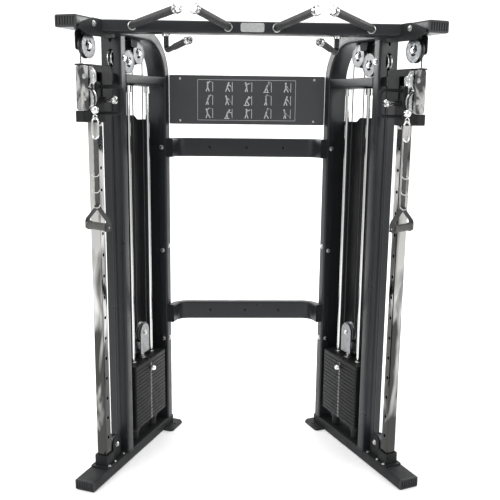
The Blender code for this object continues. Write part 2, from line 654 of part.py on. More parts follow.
def swivel_frame():
    low, high = 1.6958, EAR_Z - 0.0063
    outside = PLATE_OUT - 0.001
    plate = rounded(-0.014, 0.058, low, high, 0.012)
    bridge = rounded(-0.013, 0.012, -PLATE_IN - LAP, PLATE_IN + LAP, 0.003, 1)
    parts = [flat([plate], -outside, -PLATE_IN, FRONT_PLANE),
             flat([bridge], low + 0.0004, low + 0.005), flat([bridge], high - 0.005, high - 0.0004),
             rod((0, 0, high - 0.002), (0, 0, EAR_Z + 0.003), 0.0092, 12)]
    for z in (UPPER_SWIVEL_Z, LOWER_SWIVEL_Z):
        parts.append(rod((SWIVEL_RUN_R, -0.0145, z), (SWIVEL_RUN_R, 0.0145, z), 0.0060, 8))
        for way in (-1, 1):
            parts.append(rod((SWIVEL_RUN_R, way * (outside - LAP), z),
                             (SWIVEL_RUN_R, way * (outside + 0.006), z), 0.009, 6))
    body = fused(flat([plate], PLATE_IN, outside, FRONT_PLANE), *parts)
    return without(body, rod((0, 0, high - 0.010), (0, 0, EAR_Z + 0.010), 0.0045, 8))


def ring_of(centre, half_w, half_h, corner, radius, steps=2):
    """Round wire bent into a rounded rectangle in the swivel's x-z plane."""
    x, z = centre
    return wire([(x + u, 0, z + v) for u, v in
                 rounded(-half_w, half_w, -half_h, half_h, corner, steps)],
                radius, closed=True, detail=1)


def cable_stop():
    """Ball at the end of the cable, with the eye that the carabiner hangs in."""
    eye_z, eye_r = HOOK_Z + 0.0029, 0.0100
    eye = [(HANG_X, eye_r * math.cos(a), eye_z + eye_r * math.sin(a))
           for a in (math.tau * i / 12 for i in range(12))]
    stem = rod((HANG_X, 0, eye_z + eye_r - 0.001), (HANG_X, 0, BALL_Z - 0.008), 0.0036, 8)
    return fused(ball((HANG_X, 0, BALL_Z), BALL_R), wire(eye, 0.0025, closed=True, detail=1), stem)


def handle_cable():
    return rod((HANG_X, 0, BALL_Z + BALL_R + GAP), (HANG_X, 0, LOWER_SWIVEL_Z), CABLE_R, 8)


RING_HEIGHTS = (1.435, 1.367, 1.303)
LINK_HALF_W = 0.018             # half the carabiner's width; its top is half a circle


def handle_strap():
    """Carabiner, webbing with its steel rings, and the two legs that hold the grip's rod."""
    low_z = HOOK_Z - 0.086
    middle = (HOOK_Z + low_z) / 2
    web = box(HANG_X - 0.0125, HANG_X + 0.0125, -0.0025, 0.0025, RING_HEIGHTS[-1], low_z + 0.002,
              0.001)
    parts = [ring_of((HANG_X, middle), LINK_HALF_W, HOOK_Z - middle, LINK_HALF_W - 0.0001, 0.0038,
                     4)]
    parts += [ring_of((HANG_X, z), 0.017, 0.003, 0.0029, 0.0026, 1) for z in RING_HEIGHTS]
    top = RING_HEIGHTS[-1] + 0.001
    for way in (-1, 1):
        foot_x = HANG_X + way * (GRIP_HALF + 0.009)
        leg = [(HANG_X - way * 0.002, top), (HANG_X + way * 0.016, top),
               (foot_x + way * 0.004, GRIP_Z + 0.018), (foot_x + way * 0.004, GRIP_Z - 0.017),
               (foot_x - way * 0.007, GRIP_Z - 0.017), (foot_x - way * 0.007, GRIP_Z + 0.024),
               (HANG_X - way * 0.002, top - 0.008)]
        parts.append(flat([leg], -0.012, 0.012, FRONT_PLANE))
    foot = GRIP_HALF + 0.007
    parts.append(rod((HANG_X - foot, 0, GRIP_Z), (HANG_X + foot, 0, GRIP_Z), 0.0045, 8))
    return fused(web, *parts)


def handle_grip():
    """Rubber grip with a flange at each end, free on the strap's rod."""
    half = GRIP_HALF
    profile = [(0.0055, -half), (GRIP_R + 0.0035, -half), (GRIP_R + 0.0035, 0.006 - half),
               (GRIP_R, 0.009 - half), (GRIP_R, half - 0.009), (GRIP_R + 0.0035, half - 0.006),
               (GRIP_R + 0.0035, half), (0.0055, half)]
    return turned(profile, (HANG_X, 0, GRIP_Z), (1, 0, 0), 12)


def hanging(y, low, high):
    """Straight vertical cable in the plane x = 0."""
    return rod((0, y, low), (0, y, high), CABLE_R, 8)


# ---------------------------------------------------------------- both towers
def add_tower(side):
    tower = TOWER[side]
    swivel = tower @ SWIVEL

    def add(name, finish, shape, matrix=tower, origin=(0, 0, 0), smooth=True):
        make(f"{side}_{name}", finish, shape, matrix, origin, smooth)

    add("base_frame", "black_paint", base_frame())
    add("arch_frame", "black_paint", arch_frame())
    add("chrome_column", "chrome", column())
    add("side_shroud", "black_paint", shroud(), smooth=False)
    add("guide_rods", "chrome", guide_rods())
    add("resting_plates", "cast_black", resting_plates(), smooth=False)

    add("lifted_stack", "cast_black", lifted_stack(), origin=(0, STACK_Y, HEAD_LOW))
    add("selector_pin", "chrome", selector_pin(), origin=(0, STACK_Y, PIN_Z))
    for name, radius, place in (("floating_pulley", PULLEY_R, FLOATING),
                                ("tower_pulley_front", PULLEY_R, TOWER_FRONT),
                                ("tower_pulley_rear", PULLEY_R, TOWER_REAR),
                                ("window_pulley", SMALL_R, WINDOW_PULLEY),
                                ("top_pulley", PULLEY_R, TOP_PULLEY),
                                ("low_pulley", SMALL_R, LOW_PULLEY)):
        add(name, "aluminium", pulley(radius, (0, *place)), origin=(0, *place))

    add("trolley", "black_paint", trolley(), origin=(0, COLUMN_Y, HOLE_TOP))
    add("pop_pin", "chrome", pop_pin(), origin=(0, COLUMN_Y, HOLE_TOP))
    add("swivel_frame", "steel", swivel_frame(), swivel, (0, 0, UPPER_SWIVEL_Z))
    for name, z in (("upper", UPPER_SWIVEL_Z), ("lower", LOWER_SWIVEL_Z)):
        centre = (SWIVEL_RUN_R, 0, z)
        add(f"swivel_pulley_{name}", "aluminium", pulley(SWIVEL_R, centre, (0, 1, 0)), swivel,
            centre)
    add("cable_stop", "chrome", cable_stop(), swivel, (HANG_X, 0, BALL_Z))
    add("handle_cable", "cable", handle_cable(), swivel, (HANG_X, 0, LOWER_SWIVEL_Z))
    add("handle_strap", "webbing", handle_strap(), swivel, (HANG_X, 0, HOOK_Z - LINK_HALF_W))
    add("handle_grip", "rubber", handle_grip(), swivel, (HANG_X, 0, GRIP_Z))

    column_cable_y = LOW_PULLEY[0] - SMALL_RUN_R
    add("pulley_cable_upper", "cable", upper_run())
    add("pulley_cable_lower", "cable", lower_run())
    add("trolley_cable_upper", "cable",
        hanging(SWIVEL_Y, UPPER_SWIVEL_Z, TOP_PULLEY[1] - GAP), origin=(0, SWIVEL_Y, TOP_PULLEY[1]))
    add("trolley_cable_lower", "cable",
        hanging(column_cable_y, LOW_PULLEY[1] + 0.0015, SLEEVE_LOW + 0.0005),
        origin=(0, column_cable_y, LOW_PULLEY[1]))
    add("stack_cable", "cable", stack_cable(), origin=(0, STACK_Y, TOWER_FRONT[1]))


# ---------------------------------------------------------------- what joins the towers
def inner_face_x(y, off=0.0):
    """World x of the right tower's inner side, off metres clear of it, y behind the tips."""
    along = (y + (TUBE_W / 2 + off) * math.sin(TOE)) / math.cos(TOE)
    return TOWER_X - along * math.sin(TOE) - (TUBE_W / 2 + off) * math.cos(TOE)


def beam_tube():
    """Flat tube between the booms, its ends cut to the towers' angle."""
    middle = BEAM_FRONT + TUBE_W / 2
    start = (Matrix.Translation((-0.75, middle, BOOM_Z)) @ Matrix.Rotation(math.radians(90), 4, "Y")
             @ Matrix.Rotation(math.radians(90), 4, "Z"))
    ends = []
    for stance in STANCE.values():
        end = box(-0.5, TUBE_W / 2 + 0.0066, -0.3, 0.6, BOOM_Z - TUBE_D, BOOM_Z + TUBE_D)
        ends.append(placed(end, stance))
    return without(walled(Sleeve(TUBE_W, TUBE_D, start).straight((1.5, 0, 0)).done()), *ends)


def eased(points, steps=3):
    """Points with each corner rounded by a quadratic curve."""
    points = [Vector(p) for p in points]
    path = [points[0]]
    for before, corner, after in zip(points, points[1:], points[2:]):
        start = corner + (before - corner) * min(0.5, 0.030 / (before - corner).length)
        end = corner + (after - corner) * min(0.5, 0.030 / (after - corner).length)
        for i in range(steps + 1):
            t = i / steps
            path.append(start * (1 - t) ** 2 + corner * 2 * t * (1 - t) + end * t * t)
    return [*path, points[-1]]


def handle_routes():
    """Centrelines of the six pull-up handles, with grip radius and cap radius."""
    face, under = BEAM_FRONT + LAP, BOOM_Z - TUBE_D / 2
    routes = []
    for way in (-1, 1):
        for root_x, tip_x in ((0.503, 0.303), (0.103, 0.228)):
            routes.append(([(way * root_x, face, BOOM_Z), (way * root_x, BEAM_FRONT - 0.022, BOOM_Z),
                            (way * tip_x, -0.172, 2.080)], HANDLE_R, HANDLE_CAP_R))
        routes.append(([(way * 0.366, 0.175, under + LAP), (way * 0.366, 0.175, 1.950),
                        (way * 0.263, -0.086, 1.972)], J_R, J_CAP_R))
    return routes


def top_beam():
    """Beam with its pull-up handles, their end caps and the collars under the beam."""
    parts = []
    for points, radius, cap_r in handle_routes():
        tip = Vector(points[-1])
        way = (tip - Vector(points[-2])).normalized()
        profile = [(0, -0.002), (cap_r - 0.002, -0.002), (cap_r, 0.001), (cap_r, 0.015),
                   (cap_r - 0.005, 0.020), (0, 0.021)]
        parts += [wire(eased(points), radius), turned(profile, tip, way, 12)]
    under = BOOM_Z - TUBE_D / 2
    parts += [rod((x, 0.175, under - 0.010), (x, 0.175, under + LAP), 0.0180, 16)
              for x in (-0.366, 0.366)]
    return fused(beam_tube(), *parts)


def crossbar(height):
    """Bar that leaves each tower along its inner side and bends into a straight run."""
    turn = math.pi / 2 - TOE
    offset = CROSSBAR_D / 2 + GAP
    bend_y = CROSSBAR_Y - CROSSBAR_BEND * (1 - math.cos(turn))
    bend_x = inner_face_x(bend_y, offset)
    lead = 0.036
    start_point = Vector((-bend_x - lead * math.sin(TOE), bend_y - lead * math.cos(TOE), height))
    facing = (Matrix.Rotation(turn, 4, "Z") @ Matrix.Rotation(math.radians(90), 4, "Y"))
    bar = Sleeve(CROSSBAR_H, CROSSBAR_D, Matrix.Translation(start_point) @ facing)
    bar.straight((lead * math.sin(TOE), lead * math.cos(TOE), 0))
    run_x = bend_x - CROSSBAR_BEND * math.sin(turn)
    bar.bend((-run_x, CROSSBAR_Y - CROSSBAR_BEND, 0), (0, 0, -1), turn, 4)
    bar.straight((2 * run_x, 0, 0))
    bar.bend((run_x, CROSSBAR_Y - CROSSBAR_BEND, 0), (0, 0, -1), turn, 4)
    bar.straight((lead * math.sin(TOE), -lead * math.cos(TOE), 0))
    return walled(bar.done())


def placard():
    half = inner_face_x(PLACARD_Y + 0.003) - 0.0008
    outline = rounded(-half, half, PLACARD_LOW, PLACARD_HIGH, 0.004)
    return flat([outline], -PLACARD_Y - 0.003, -PLACARD_Y, FRONT_PLANE)


for tower_side in SIDES:
    add_tower(tower_side)
make("top_beam", "black_paint", top_beam(), smooth=True)
for crossbar_name, crossbar_z in zip(("lower", "upper"), CROSSBAR_HEIGHTS):
    make(f"{crossbar_name}_crossbar", "black_paint", crossbar(crossbar_z))
make("placard", "placard", placard())
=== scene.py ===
"""Looks of the functional trainer: every CAD node replaced by detailed pieces on the same bodies.

Tower space, as in the CAD: x inwards to the machine's centre plane, y rearwards along the base
tube, z up.  TOWER turns it into the row frame (+Z up, the front faces -Y, metres).
"""
from math import asin, atan2, cos, degrees, pi, radians, sin, tau

import bmesh
import bpy
from mathutils import Matrix, Vector


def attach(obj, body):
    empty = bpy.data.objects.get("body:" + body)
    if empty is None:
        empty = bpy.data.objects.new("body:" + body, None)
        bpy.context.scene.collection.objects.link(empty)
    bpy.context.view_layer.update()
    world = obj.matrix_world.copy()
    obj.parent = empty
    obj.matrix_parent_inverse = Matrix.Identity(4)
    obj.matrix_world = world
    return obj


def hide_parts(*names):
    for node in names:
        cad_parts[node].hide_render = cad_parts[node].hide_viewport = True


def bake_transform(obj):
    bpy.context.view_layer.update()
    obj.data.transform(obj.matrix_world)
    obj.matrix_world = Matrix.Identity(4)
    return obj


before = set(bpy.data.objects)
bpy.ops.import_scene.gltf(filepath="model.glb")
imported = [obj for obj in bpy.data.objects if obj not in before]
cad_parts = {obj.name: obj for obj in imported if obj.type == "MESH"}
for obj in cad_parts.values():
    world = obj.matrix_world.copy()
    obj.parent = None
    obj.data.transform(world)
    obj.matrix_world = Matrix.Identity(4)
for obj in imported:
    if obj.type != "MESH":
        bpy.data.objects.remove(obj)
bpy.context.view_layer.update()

# ---------------------------------------------------------------- sizes shared with the CAD
TOE = radians(22.0)
TOWER_X, MID_Y = 0.738, 0.3029
GAP = 0.0003
TUBE_W, TUBE_D, WALL, CORNER = 0.1, 0.05, 0.003, 0.008
BASE_LENGTH = 0.8
COLUMN_SIDE, COLUMN_Y, COLUMN_TOP = 0.048, 0.168, 1.86
FRONT_UPRIGHT_Y, REAR_UPRIGHT_Y = 0.335, 0.772
BOOM_Z, BOOM_FRONT_Y, ARCH_RADIUS = 2.046, -0.024, 0.205
RAIL_LOW, RAIL_HIGH = 1.818, 1.858
PULLEY_R, CABLE_RUN_R = 0.053, 0.0485
SMALL_R, SMALL_RUN_R = 0.044, 0.04
SWIVEL_R, SWIVEL_RUN_R = 0.042, 0.038
PULLEY_W, CABLE_R = 0.02, 0.0028
SWIVEL_Y, STACK_Y = 0.0715, 0.553
TOP_PULLEY = (SWIVEL_Y + CABLE_RUN_R, 1.962)
TOWER_REAR = (STACK_Y, 1.962)
TOWER_FRONT = (STACK_Y - 2 * CABLE_RUN_R, 1.916)
WINDOW_PULLEY = (0.342, TOWER_FRONT[1] + CABLE_RUN_R - SMALL_RUN_R)
LOW_PULLEY, FLOATING = (0.252, 0.115), (STACK_Y, 0.588)
PLATE_HALF_W, PLATE_HALF_L, PLATE_T, PLATE_PITCH = 0.051, 0.16, 0.0185, 0.019
STACK_LOW, RESTING = 0.13, 14
ROD_OFFSET, ROD_R, SELECTOR_R, PIN_R = 0.095, 0.01, 0.011, 0.0045
PIN_Z = STACK_LOW + RESTING * PLATE_PITCH + PLATE_T / 2
HEAD_LOW, HEAD_T = STACK_LOW + (RESTING + 2) * PLATE_PITCH, 0.0225
HEAD_TOP = HEAD_LOW + HEAD_T
HOLE_PITCH, HOLE_TOP, HOLES, HOLE_R = 0.097, 1.741, 17, 0.0075
SLEEVE_HALF, SLEEVE_LOW, SLEEVE_HIGH, EAR_Z = 0.0345, 1.647, 1.812, 1.885
SWIVEL_ANGLE = radians(74.0)
UPPER_SWIVEL_Z, LOWER_SWIVEL_Z = 1.834, 1.746
HOOK_Z, BALL_Z, BALL_R = 1.667, 1.699, 0.017
GRIP_Z, GRIP_R, GRIP_HALF = 1.213, 0.0165, 0.056
RING_HEIGHTS = (1.435, 1.367, 1.303)
LINK_HALF_W = 0.018
HANG_X = 2 * SWIVEL_RUN_R
BEAM_FRONT = 0.119
HANDLE_R, HANDLE_CAP_R, J_R, J_CAP_R = 0.016, 0.0205, 0.0135, 0.0175
CROSSBAR_H, CROSSBAR_D, CROSSBAR_Y, CROSSBAR_BEND = 0.095, 0.04, 0.75, 0.085
CROSSBAR_HEIGHTS = (0.643, 1.512)
PLACARD_Y, PLACARD_LOW, PLACARD_HIGH = 0.7125, 1.63, 1.873
PLATE_IN, PLATE_OUT = 0.0135, 0.0185

SIDES = ("left", "right")
UP = Vector((0, 0, 1))
WORLD = Matrix.Translation((0, -MID_Y, 0))
LEFT_STANCE = Matrix.Translation((-TOWER_X, 0, 0)) @ Matrix.Rotation(-TOE, 4, "Z")
MIRROR = Matrix.Scale(-1, 4, (1, 0, 0))
STANCE = {"left": LEFT_STANCE, "right": MIRROR @ LEFT_STANCE}
TOWER = {side: WORLD @ stance for side, stance in STANCE.items()}
SWIVEL = Matrix.Translation((0, SWIVEL_Y, 0)) @ Matrix.Rotation(SWIVEL_ANGLE - pi / 2, 4, "Z")
FLOOR_PLANE = Matrix.Identity(4)
SIDE_PLANE = Matrix(((0, 0, 1, 0), (1, 0, 0, 0), (0, 1, 0, 0), (0, 0, 0, 1)))
FRONT_PLANE = Matrix(((1, 0, 0, 0), (0, 0, -1, 0), (0, 1, 0, 0), (0, 0, 0, 1)))


# ---------------------------------------------------------------- materials
def node(tree, kind, **sockets):
    """New shader node whose sockets are each set to a value or linked from another socket."""
    made = tree.nodes.new("ShaderNode" + kind)
    for name, value in sockets.items():
        socket = made.inputs[name.replace("_", " ")]
        if isinstance(value, bpy.types.NodeSocket):
            tree.links.new(value, socket)
        else:
            socket.default_value = value
    return made


def surface(name, colour, roughness, metallic=0.0, tint=0.12, tint_scale=6.0, rough_swing=0.08,
        bump=0.1, bump_scale=900.0, bump_depth=0.0002, **sockets):
    """Principled surface: colour and roughness drift slowly, and the grain is a fine bump."""
    material = bpy.data.materials.new(name)
    material.use_nodes = True
    tree = material.node_tree
    shader = tree.nodes["Principled BSDF"]
    shader.inputs["Metallic"].default_value = metallic
    for socket, value in sockets.items():
        shader.inputs[socket.replace("_", " ")].default_value = value
    place = node(tree, "TexCoord").outputs["Object"]

    def noise(scale, detail):
        return node(tree, "TexNoise", Vector=place, Scale=scale, Detail=detail).outputs["Fac"]

    def spread(source, low, high):
        return node(tree, "MapRange", Value=source, From_Min=0.25, From_Max=0.75, To_Min=low,
            To_Max=high).outputs["Result"]

    mix = tree.nodes.new("ShaderNodeMix")
    mix.data_type = "RGBA"
    ends = [end for end in mix.inputs if end.type == "RGBA"]
    ends[0].default_value = (*(c * (1 - tint) for c in colour), 1)
    ends[1].default_value = (*(min(c * (1 + tint), 1) for c in colour), 1)
    tree.links.new(spread(noise(tint_scale, 4), 0, 1), mix.inputs["Factor"])
    result = next(out for out in mix.outputs if out.type == "RGBA")
    tree.links.new(result, shader.inputs["Base Color"])
    smudge = noise(tint_scale * 3.1, 5)
    tree.links.new(spread(smudge, max(roughness - rough_swing, 0.02), roughness + rough_swing),
        shader.inputs["Roughness"])
    grain = node(tree, "Bump", Strength=bump, Distance=bump_depth, Height=noise(bump_scale, 3))
    tree.links.new(grain.outputs["Normal"], shader.inputs["Normal"])
    material.diffuse_color = (*colour, 1)
    return material


def painted_reflections(name, dark, light, roughness, metallic, scale, painted_rise=0.0):
    """Metal with painted reflections in soft patches, and painted light that grows with height."""
    material = surface(name, light, roughness, metallic, tint=0.0, rough_swing=0.05, bump=0.1,
        bump_scale=35, bump_depth=0.0008)
    tree = material.node_tree
    place = node(tree, "TexCoord").outputs["Object"]
    stretched = node(tree, "Mapping", Vector=place, Scale=scale).outputs["Vector"]
    # dark and light patches are painted reflections; the height term paints light higher up and
    # shade lower down
    reflection_patches = node(tree, "TexNoise", Vector=stretched, Scale=1.0, Detail=3.0, Distortion=0.6)
    height = node(tree, "SeparateXYZ", Vector=place).outputs["Z"]
    height_light = node(tree, "MapRange", Value=height, From_Max=2.0, To_Min=-painted_rise, To_Max=painted_rise)
    total = tree.nodes.new("ShaderNodeMath")
    total.operation = "ADD"
    tree.links.new(reflection_patches.outputs["Fac"], total.inputs[0])
    tree.links.new(height_light.outputs["Result"], total.inputs[1])
    ramp = node(tree, "ValToRGB", Fac=total.outputs[0])
    for stop, position, colour in zip(ramp.color_ramp.elements, (0.44, 0.6), (dark, light)):
        stop.position = position
        stop.color = (*colour, 1)
    tree.links.new(ramp.outputs["Color"], tree.nodes["Principled BSDF"].inputs["Base Color"])
    return material


def woven(name, colour, pitch):
    """Flat webbing: diagonal ribs of a twill, from two crossed wave textures."""
    material = surface(name, colour, 0.78, tint=0.25, tint_scale=40, bump=0.0, Sheen_Weight=0.35,
        Sheen_Roughness=0.5)
    tree = material.node_tree
    place = node(tree, "TexCoord").outputs["Object"]
    both = tree.nodes.new("ShaderNodeMath")
    both.operation = "MULTIPLY"
    for i, turn in enumerate((0.9, -0.9)):
        across = node(tree, "Mapping", Vector=place, Rotation=(0, turn, 0)).outputs["Vector"]
        wave = node(tree, "TexWave", Vector=across, Scale=1 / pitch / 3, Distortion=0.3)
        wave.bands_direction = "Z"
        tree.links.new(wave.outputs["Fac"], both.inputs[i])
    ribs = node(tree, "Bump", Strength=0.8, Distance=0.0006, Height=both.outputs[0])
    tree.links.new(ribs.outputs["Normal"], tree.nodes["Principled BSDF"].inputs["Normal"])
    return material


POWDER = surface("powder_coat", (0.0118, 0.013, 0.0155), 0.34, tint=0.12, bump=0.22,
    bump_scale=1400, bump_depth=0.00025, Specular_IOR_Level=0.42)
# lit copy of the aluminium: a lighter base colour as a painted highlight for the window pulley and
# swivel wheels; the badge uses it too
LIT_ALUMINIUM = surface("lit_aluminium", (0.62, 0.63, 0.63), 0.28, 1.0, tint=0.15,
    tint_scale=30, rough_swing=0.12, bump=0.12, bump_scale=700)
MATTE = surface("textured_black", (0.013, 0.0135, 0.0145), 0.58, tint=0.15, bump=0.45,
    bump_scale=1100, bump_depth=0.0004, Specular_IOR_Level=0.22)
SHEET = surface("shroud_paint", (0.0105, 0.011, 0.0125), 0.38, tint=0.12, tint_scale=3, bump=0.15,
    bump_scale=1100, bump_depth=0.0002, Specular_IOR_Level=0.35)
CHROME = surface("chrome", (0.8, 0.8, 0.79), 0.07, 1.0, tint=0.05, rough_swing=0.04, bump=0.05,
    bump_scale=60, bump_depth=0.0004)
# chrome column: painted reflections in upright dark and light patches, and painted light that
# makes it lighter towards the top
COLUMN_CHROME = painted_reflections("column_chrome", (0.055, 0.055, 0.053), (0.66, 0.655, 0.64), 0.1, 1.0,
    (9, 9, 2.4), 0.16)
# swivel cheeks: painted reflections as dark and light patches
CHEEK_STEEL = painted_reflections("cheek_steel", (0.1, 0.1, 0.1), (0.72, 0.72, 0.71), 0.24, 1.0, (22, 22, 14))
# handle caps: painted reflections as small dark and light patches
CAP_CHROME = painted_reflections("knurled_chrome", (0.1, 0.1, 0.1), (0.8, 0.8, 0.79), 0.14, 1.0,
    (150, 150, 150))
GRIP_RUBBER = surface("grip_rubber", (0.085, 0.084, 0.082), 0.6, tint=0.2, tint_scale=30, bump=0.5,
    bump_scale=650, bump_depth=0.0005)
STEEL = surface("zinc_steel", (0.56, 0.56, 0.55), 0.3, 1.0, tint=0.12, tint_scale=30, bump=0.15,
    bump_scale=500)
DULL_STEEL = surface("plated_steel", (0.23, 0.235, 0.24), 0.36, 1.0, tint=0.2, tint_scale=20,
    rough_swing=0.12, bump=0.15, bump_scale=400)
ALUMINIUM = surface("machined_aluminium", (0.155, 0.16, 0.165), 0.42, 1.0, tint=0.1, tint_scale=25,
    rough_swing=0.1, bump=0.12, bump_scale=700)
CAST = surface("cast_plate", (0.011, 0.011, 0.0115), 0.52, tint=0.18, tint_scale=14, bump=0.45,
    bump_scale=420, bump_depth=0.0005, Specular_IOR_Level=0.2)
RUBBER = surface("rubber", (0.02, 0.02, 0.021), 0.62, tint=0.12, bump=0.5, bump_scale=650,
    bump_depth=0.0005)
PLASTIC = surface("cap_plastic", (0.015, 0.0155, 0.017), 0.42, tint=0.08, bump=0.3, bump_scale=800,
    bump_depth=0.0003, Specular_IOR_Level=0.35)
CABLE = surface("cable_sheath", (0.013, 0.013, 0.014), 0.36, tint=0.1, bump=0.3, bump_scale=1500,
    bump_depth=0.0003)
PLACARD = surface("placard_paint", (0.04, 0.041, 0.044), 0.5, tint=0.08, tint_scale=4, bump=0.1,
    bump_scale=900)
PRINT = surface("white_print", (0.55, 0.56, 0.57), 0.55, tint=0.05, bump=0.05)
DARK = surface("dark_label", (0.012, 0.012, 0.013), 0.3, tint=0.05, bump=0.05)
WEBBING = woven("webbing", (0.02, 0.02, 0.021), 0.0016)


# ---------------------------------------------------------------- shapes
def evaluated(data, modifier=None, settings=None):
    holder = bpy.data.objects.new("holder", data)
    bpy.context.scene.collection.objects.link(holder)
    if modifier:
        step = holder.modifiers.new("step", modifier)
        for key, value in settings.items():
            setattr(step, key, value)
    graph = bpy.context.evaluated_depsgraph_get()
    mesh = bpy.data.meshes.new_from_object(holder.evaluated_get(graph))
    shape = bmesh.new()
    shape.from_mesh(mesh)
    bpy.data.objects.remove(holder)
    bpy.data.meshes.remove(mesh)
    return shape


def mesh_of(name, shape):
    mesh = bpy.data.meshes.new(name)
    shape.to_mesh(mesh)
    shape.free()
    return mesh


def placed(shape, matrix):
    shape.transform(matrix)
    if matrix.determinant() < 0:
        bmesh.ops.reverse_faces(shape, faces=shape.faces[:])
    return shape


def gathered(shapes):
    whole = bmesh.new()
    for shape in shapes:
        mesh = mesh_of("loose", shape)
        whole.from_mesh(mesh)
        bpy.data.meshes.remove(mesh)
    return whole


def without(first, *others):
    operand = bpy.data.objects.new("operand", mesh_of("operand", gathered(others)))
    bpy.context.scene.collection.objects.link(operand)
    result = evaluated(mesh_of("first", first), "BOOLEAN",
        {"operation": "DIFFERENCE", "solver": "EXACT", "use_self": True, "object": operand})
    bpy.data.objects.remove(operand)
    return result


def walled(sheet, thickness=WALL):
    return evaluated(mesh_of("sheet", sheet), "SOLIDIFY", {"thickness": thickness, "offset": -1,
        "use_even_offset": True})


def box(x0, x1, y0, y1, z0, z1):
    shape = bmesh.new()
    bmesh.ops.create_cube(shape, size=1.0)
    size = Matrix.Diagonal((x1 - x0, y1 - y0, z1 - z0, 1))
    shape.transform(Matrix.Translation(((x0 + x1) / 2, (y0 + y1) / 2, (z0 + z1) / 2)) @ size)
    return shape


def turned(profile, centre, axis, sides=40):
    """Revolve a closed profile of (radius, height) points round an axis through centre."""
    shape = bmesh.new()
    ring = [shape.verts.new((radius, 0, height)) for radius, height in profile]
    edges = [shape.edges.new((ring[i - 1], ring[i])) for i in range(len(ring))]
    bmesh.ops.spin(shape, geom=ring + edges, cent=(0, 0, 0), axis=(0, 0, 1), dvec=(0, 0, 0),
        angle=2 * pi, steps=sides, use_merge=True)
    bmesh.ops.remove_doubles(shape, verts=shape.verts[:], dist=1e-6)
    bmesh.ops.recalc_face_normals(shape, faces=shape.faces[:])
    turn = Vector(axis).to_track_quat("Z", "Y").to_matrix().to_4x4()
    shape.transform(Matrix.Translation(centre) @ turn)
    return shape


def rod(start, end, radius, sides=24, ease=0.0):
    """Round bar with eased ends."""
    start, end = Vector(start), Vector(end)
    length = (end - start).length
    ease = min(ease, radius * 0.6, length * 0.3)
    if ease:
        profile = [(0, 0), (radius - ease, 0), (radius, ease), (radius, length - ease),
            (radius - ease, length), (0, length)]
    else:
        profile = [(0, 0), (radius, 0), (radius, length), (0, length)]
    return turned(profile, start, end - start, sides)


def from_curve(curve):
    shape = evaluated(curve)
    bmesh.ops.remove_doubles(shape, verts=shape.verts[:], dist=1e-6)
    bmesh.ops.recalc_face_normals(shape, faces=shape.faces[:])
    return shape


def flat(outlines, low, high, plane=FLOOR_PLANE):
    curve = bpy.data.curves.new("outline", "CURVE")
    curve.dimensions = "2D"
    curve.fill_mode = "BOTH"
    curve.extrude = (high - low) / 2
    for outline in outlines:
        spline = curve.splines.new("POLY")
        spline.points.add(len(outline) - 1)
        spline.use_cyclic_u = True
        for point, (u, v) in zip(spline.points, outline):
            point.co = (u, v, 0, 1)
    shape = from_curve(curve)
    shape.transform(plane @ Matrix.Translation((0, 0, (low + high) / 2)))
    return shape


def wire(points, radius, closed=False, detail=4):
    curve = bpy.data.curves.new("wire", "CURVE")
    curve.dimensions = "3D"
    curve.bevel_depth = radius
    curve.bevel_resolution = detail
    curve.use_fill_caps = True
    spline = curve.splines.new("POLY")
    spline.points.add(len(points) - 1)
    spline.use_cyclic_u = closed
    for point, place in zip(spline.points, points):
        point.co = (*place, 1)
    return from_curve(curve)


def arc(cu, cv, radius, start, end, steps):
    turns = [radians(start + (end - start) * i / steps) for i in range(steps + 1)]
    return [(cu + radius * cos(a), cv + radius * sin(a)) for a in turns]


def circle(cu, cv, radius, sides=24):
    return arc(cu, cv, radius, 0, 360 * (sides - 1) / sides, sides - 1)


def rounded(u0, u1, v0, v1, radius, steps=5):
    points = []
    for u, v, start in ((u1, v1, 0), (u0, v1, 90), (u0, v0, 180), (u1, v0, 270)):
        cu = u - radius if u == u1 else u + radius
        cv = v - radius if v == v1 else v + radius
        points += arc(cu, cv, radius, start, start + 90, steps)
    return points


class Sleeve:
    """Open surface of a rectangular tube, drawn by moving its rounded outline along a path."""

    def __init__(self, width, depth, start, corner=CORNER):
        self.shape = bmesh.new()
        outline = rounded(-width / 2, width / 2, -depth / 2, depth / 2, corner)
        ring = [self.shape.verts.new(start @ Vector((u, v, 0))) for u, v in outline]
        self.end = [self.shape.edges.new((ring[i - 1], ring[i])) for i in range(len(ring))]

    def straight(self, step):
        grown = bmesh.ops.extrude_edge_only(self.shape, edges=self.end)["geom"]
        moved = [item for item in grown if isinstance(item, bmesh.types.BMVert)]
        bmesh.ops.translate(self.shape, verts=moved, vec=step)
        self.end = [item for item in grown if isinstance(item, bmesh.types.BMEdge) and all(
            v in moved for v in item.verts)]
        return self

    def bend(self, centre, axis, angle, steps):
        grown = bmesh.ops.spin(self.shape, geom=self.end, cent=centre, axis=axis, dvec=(0, 0, 0),
            angle=angle, steps=steps)["geom_last"]
        self.end = [item for item in grown if isinstance(item, bmesh.types.BMEdge)]
        return self

    def done(self):
        bmesh.ops.remove_doubles(self.shape, verts=self.shape.verts[:], dist=1e-6)
        bmesh.ops.recalc_face_normals(self.shape, faces=self.shape.faces[:])
        return self.shape


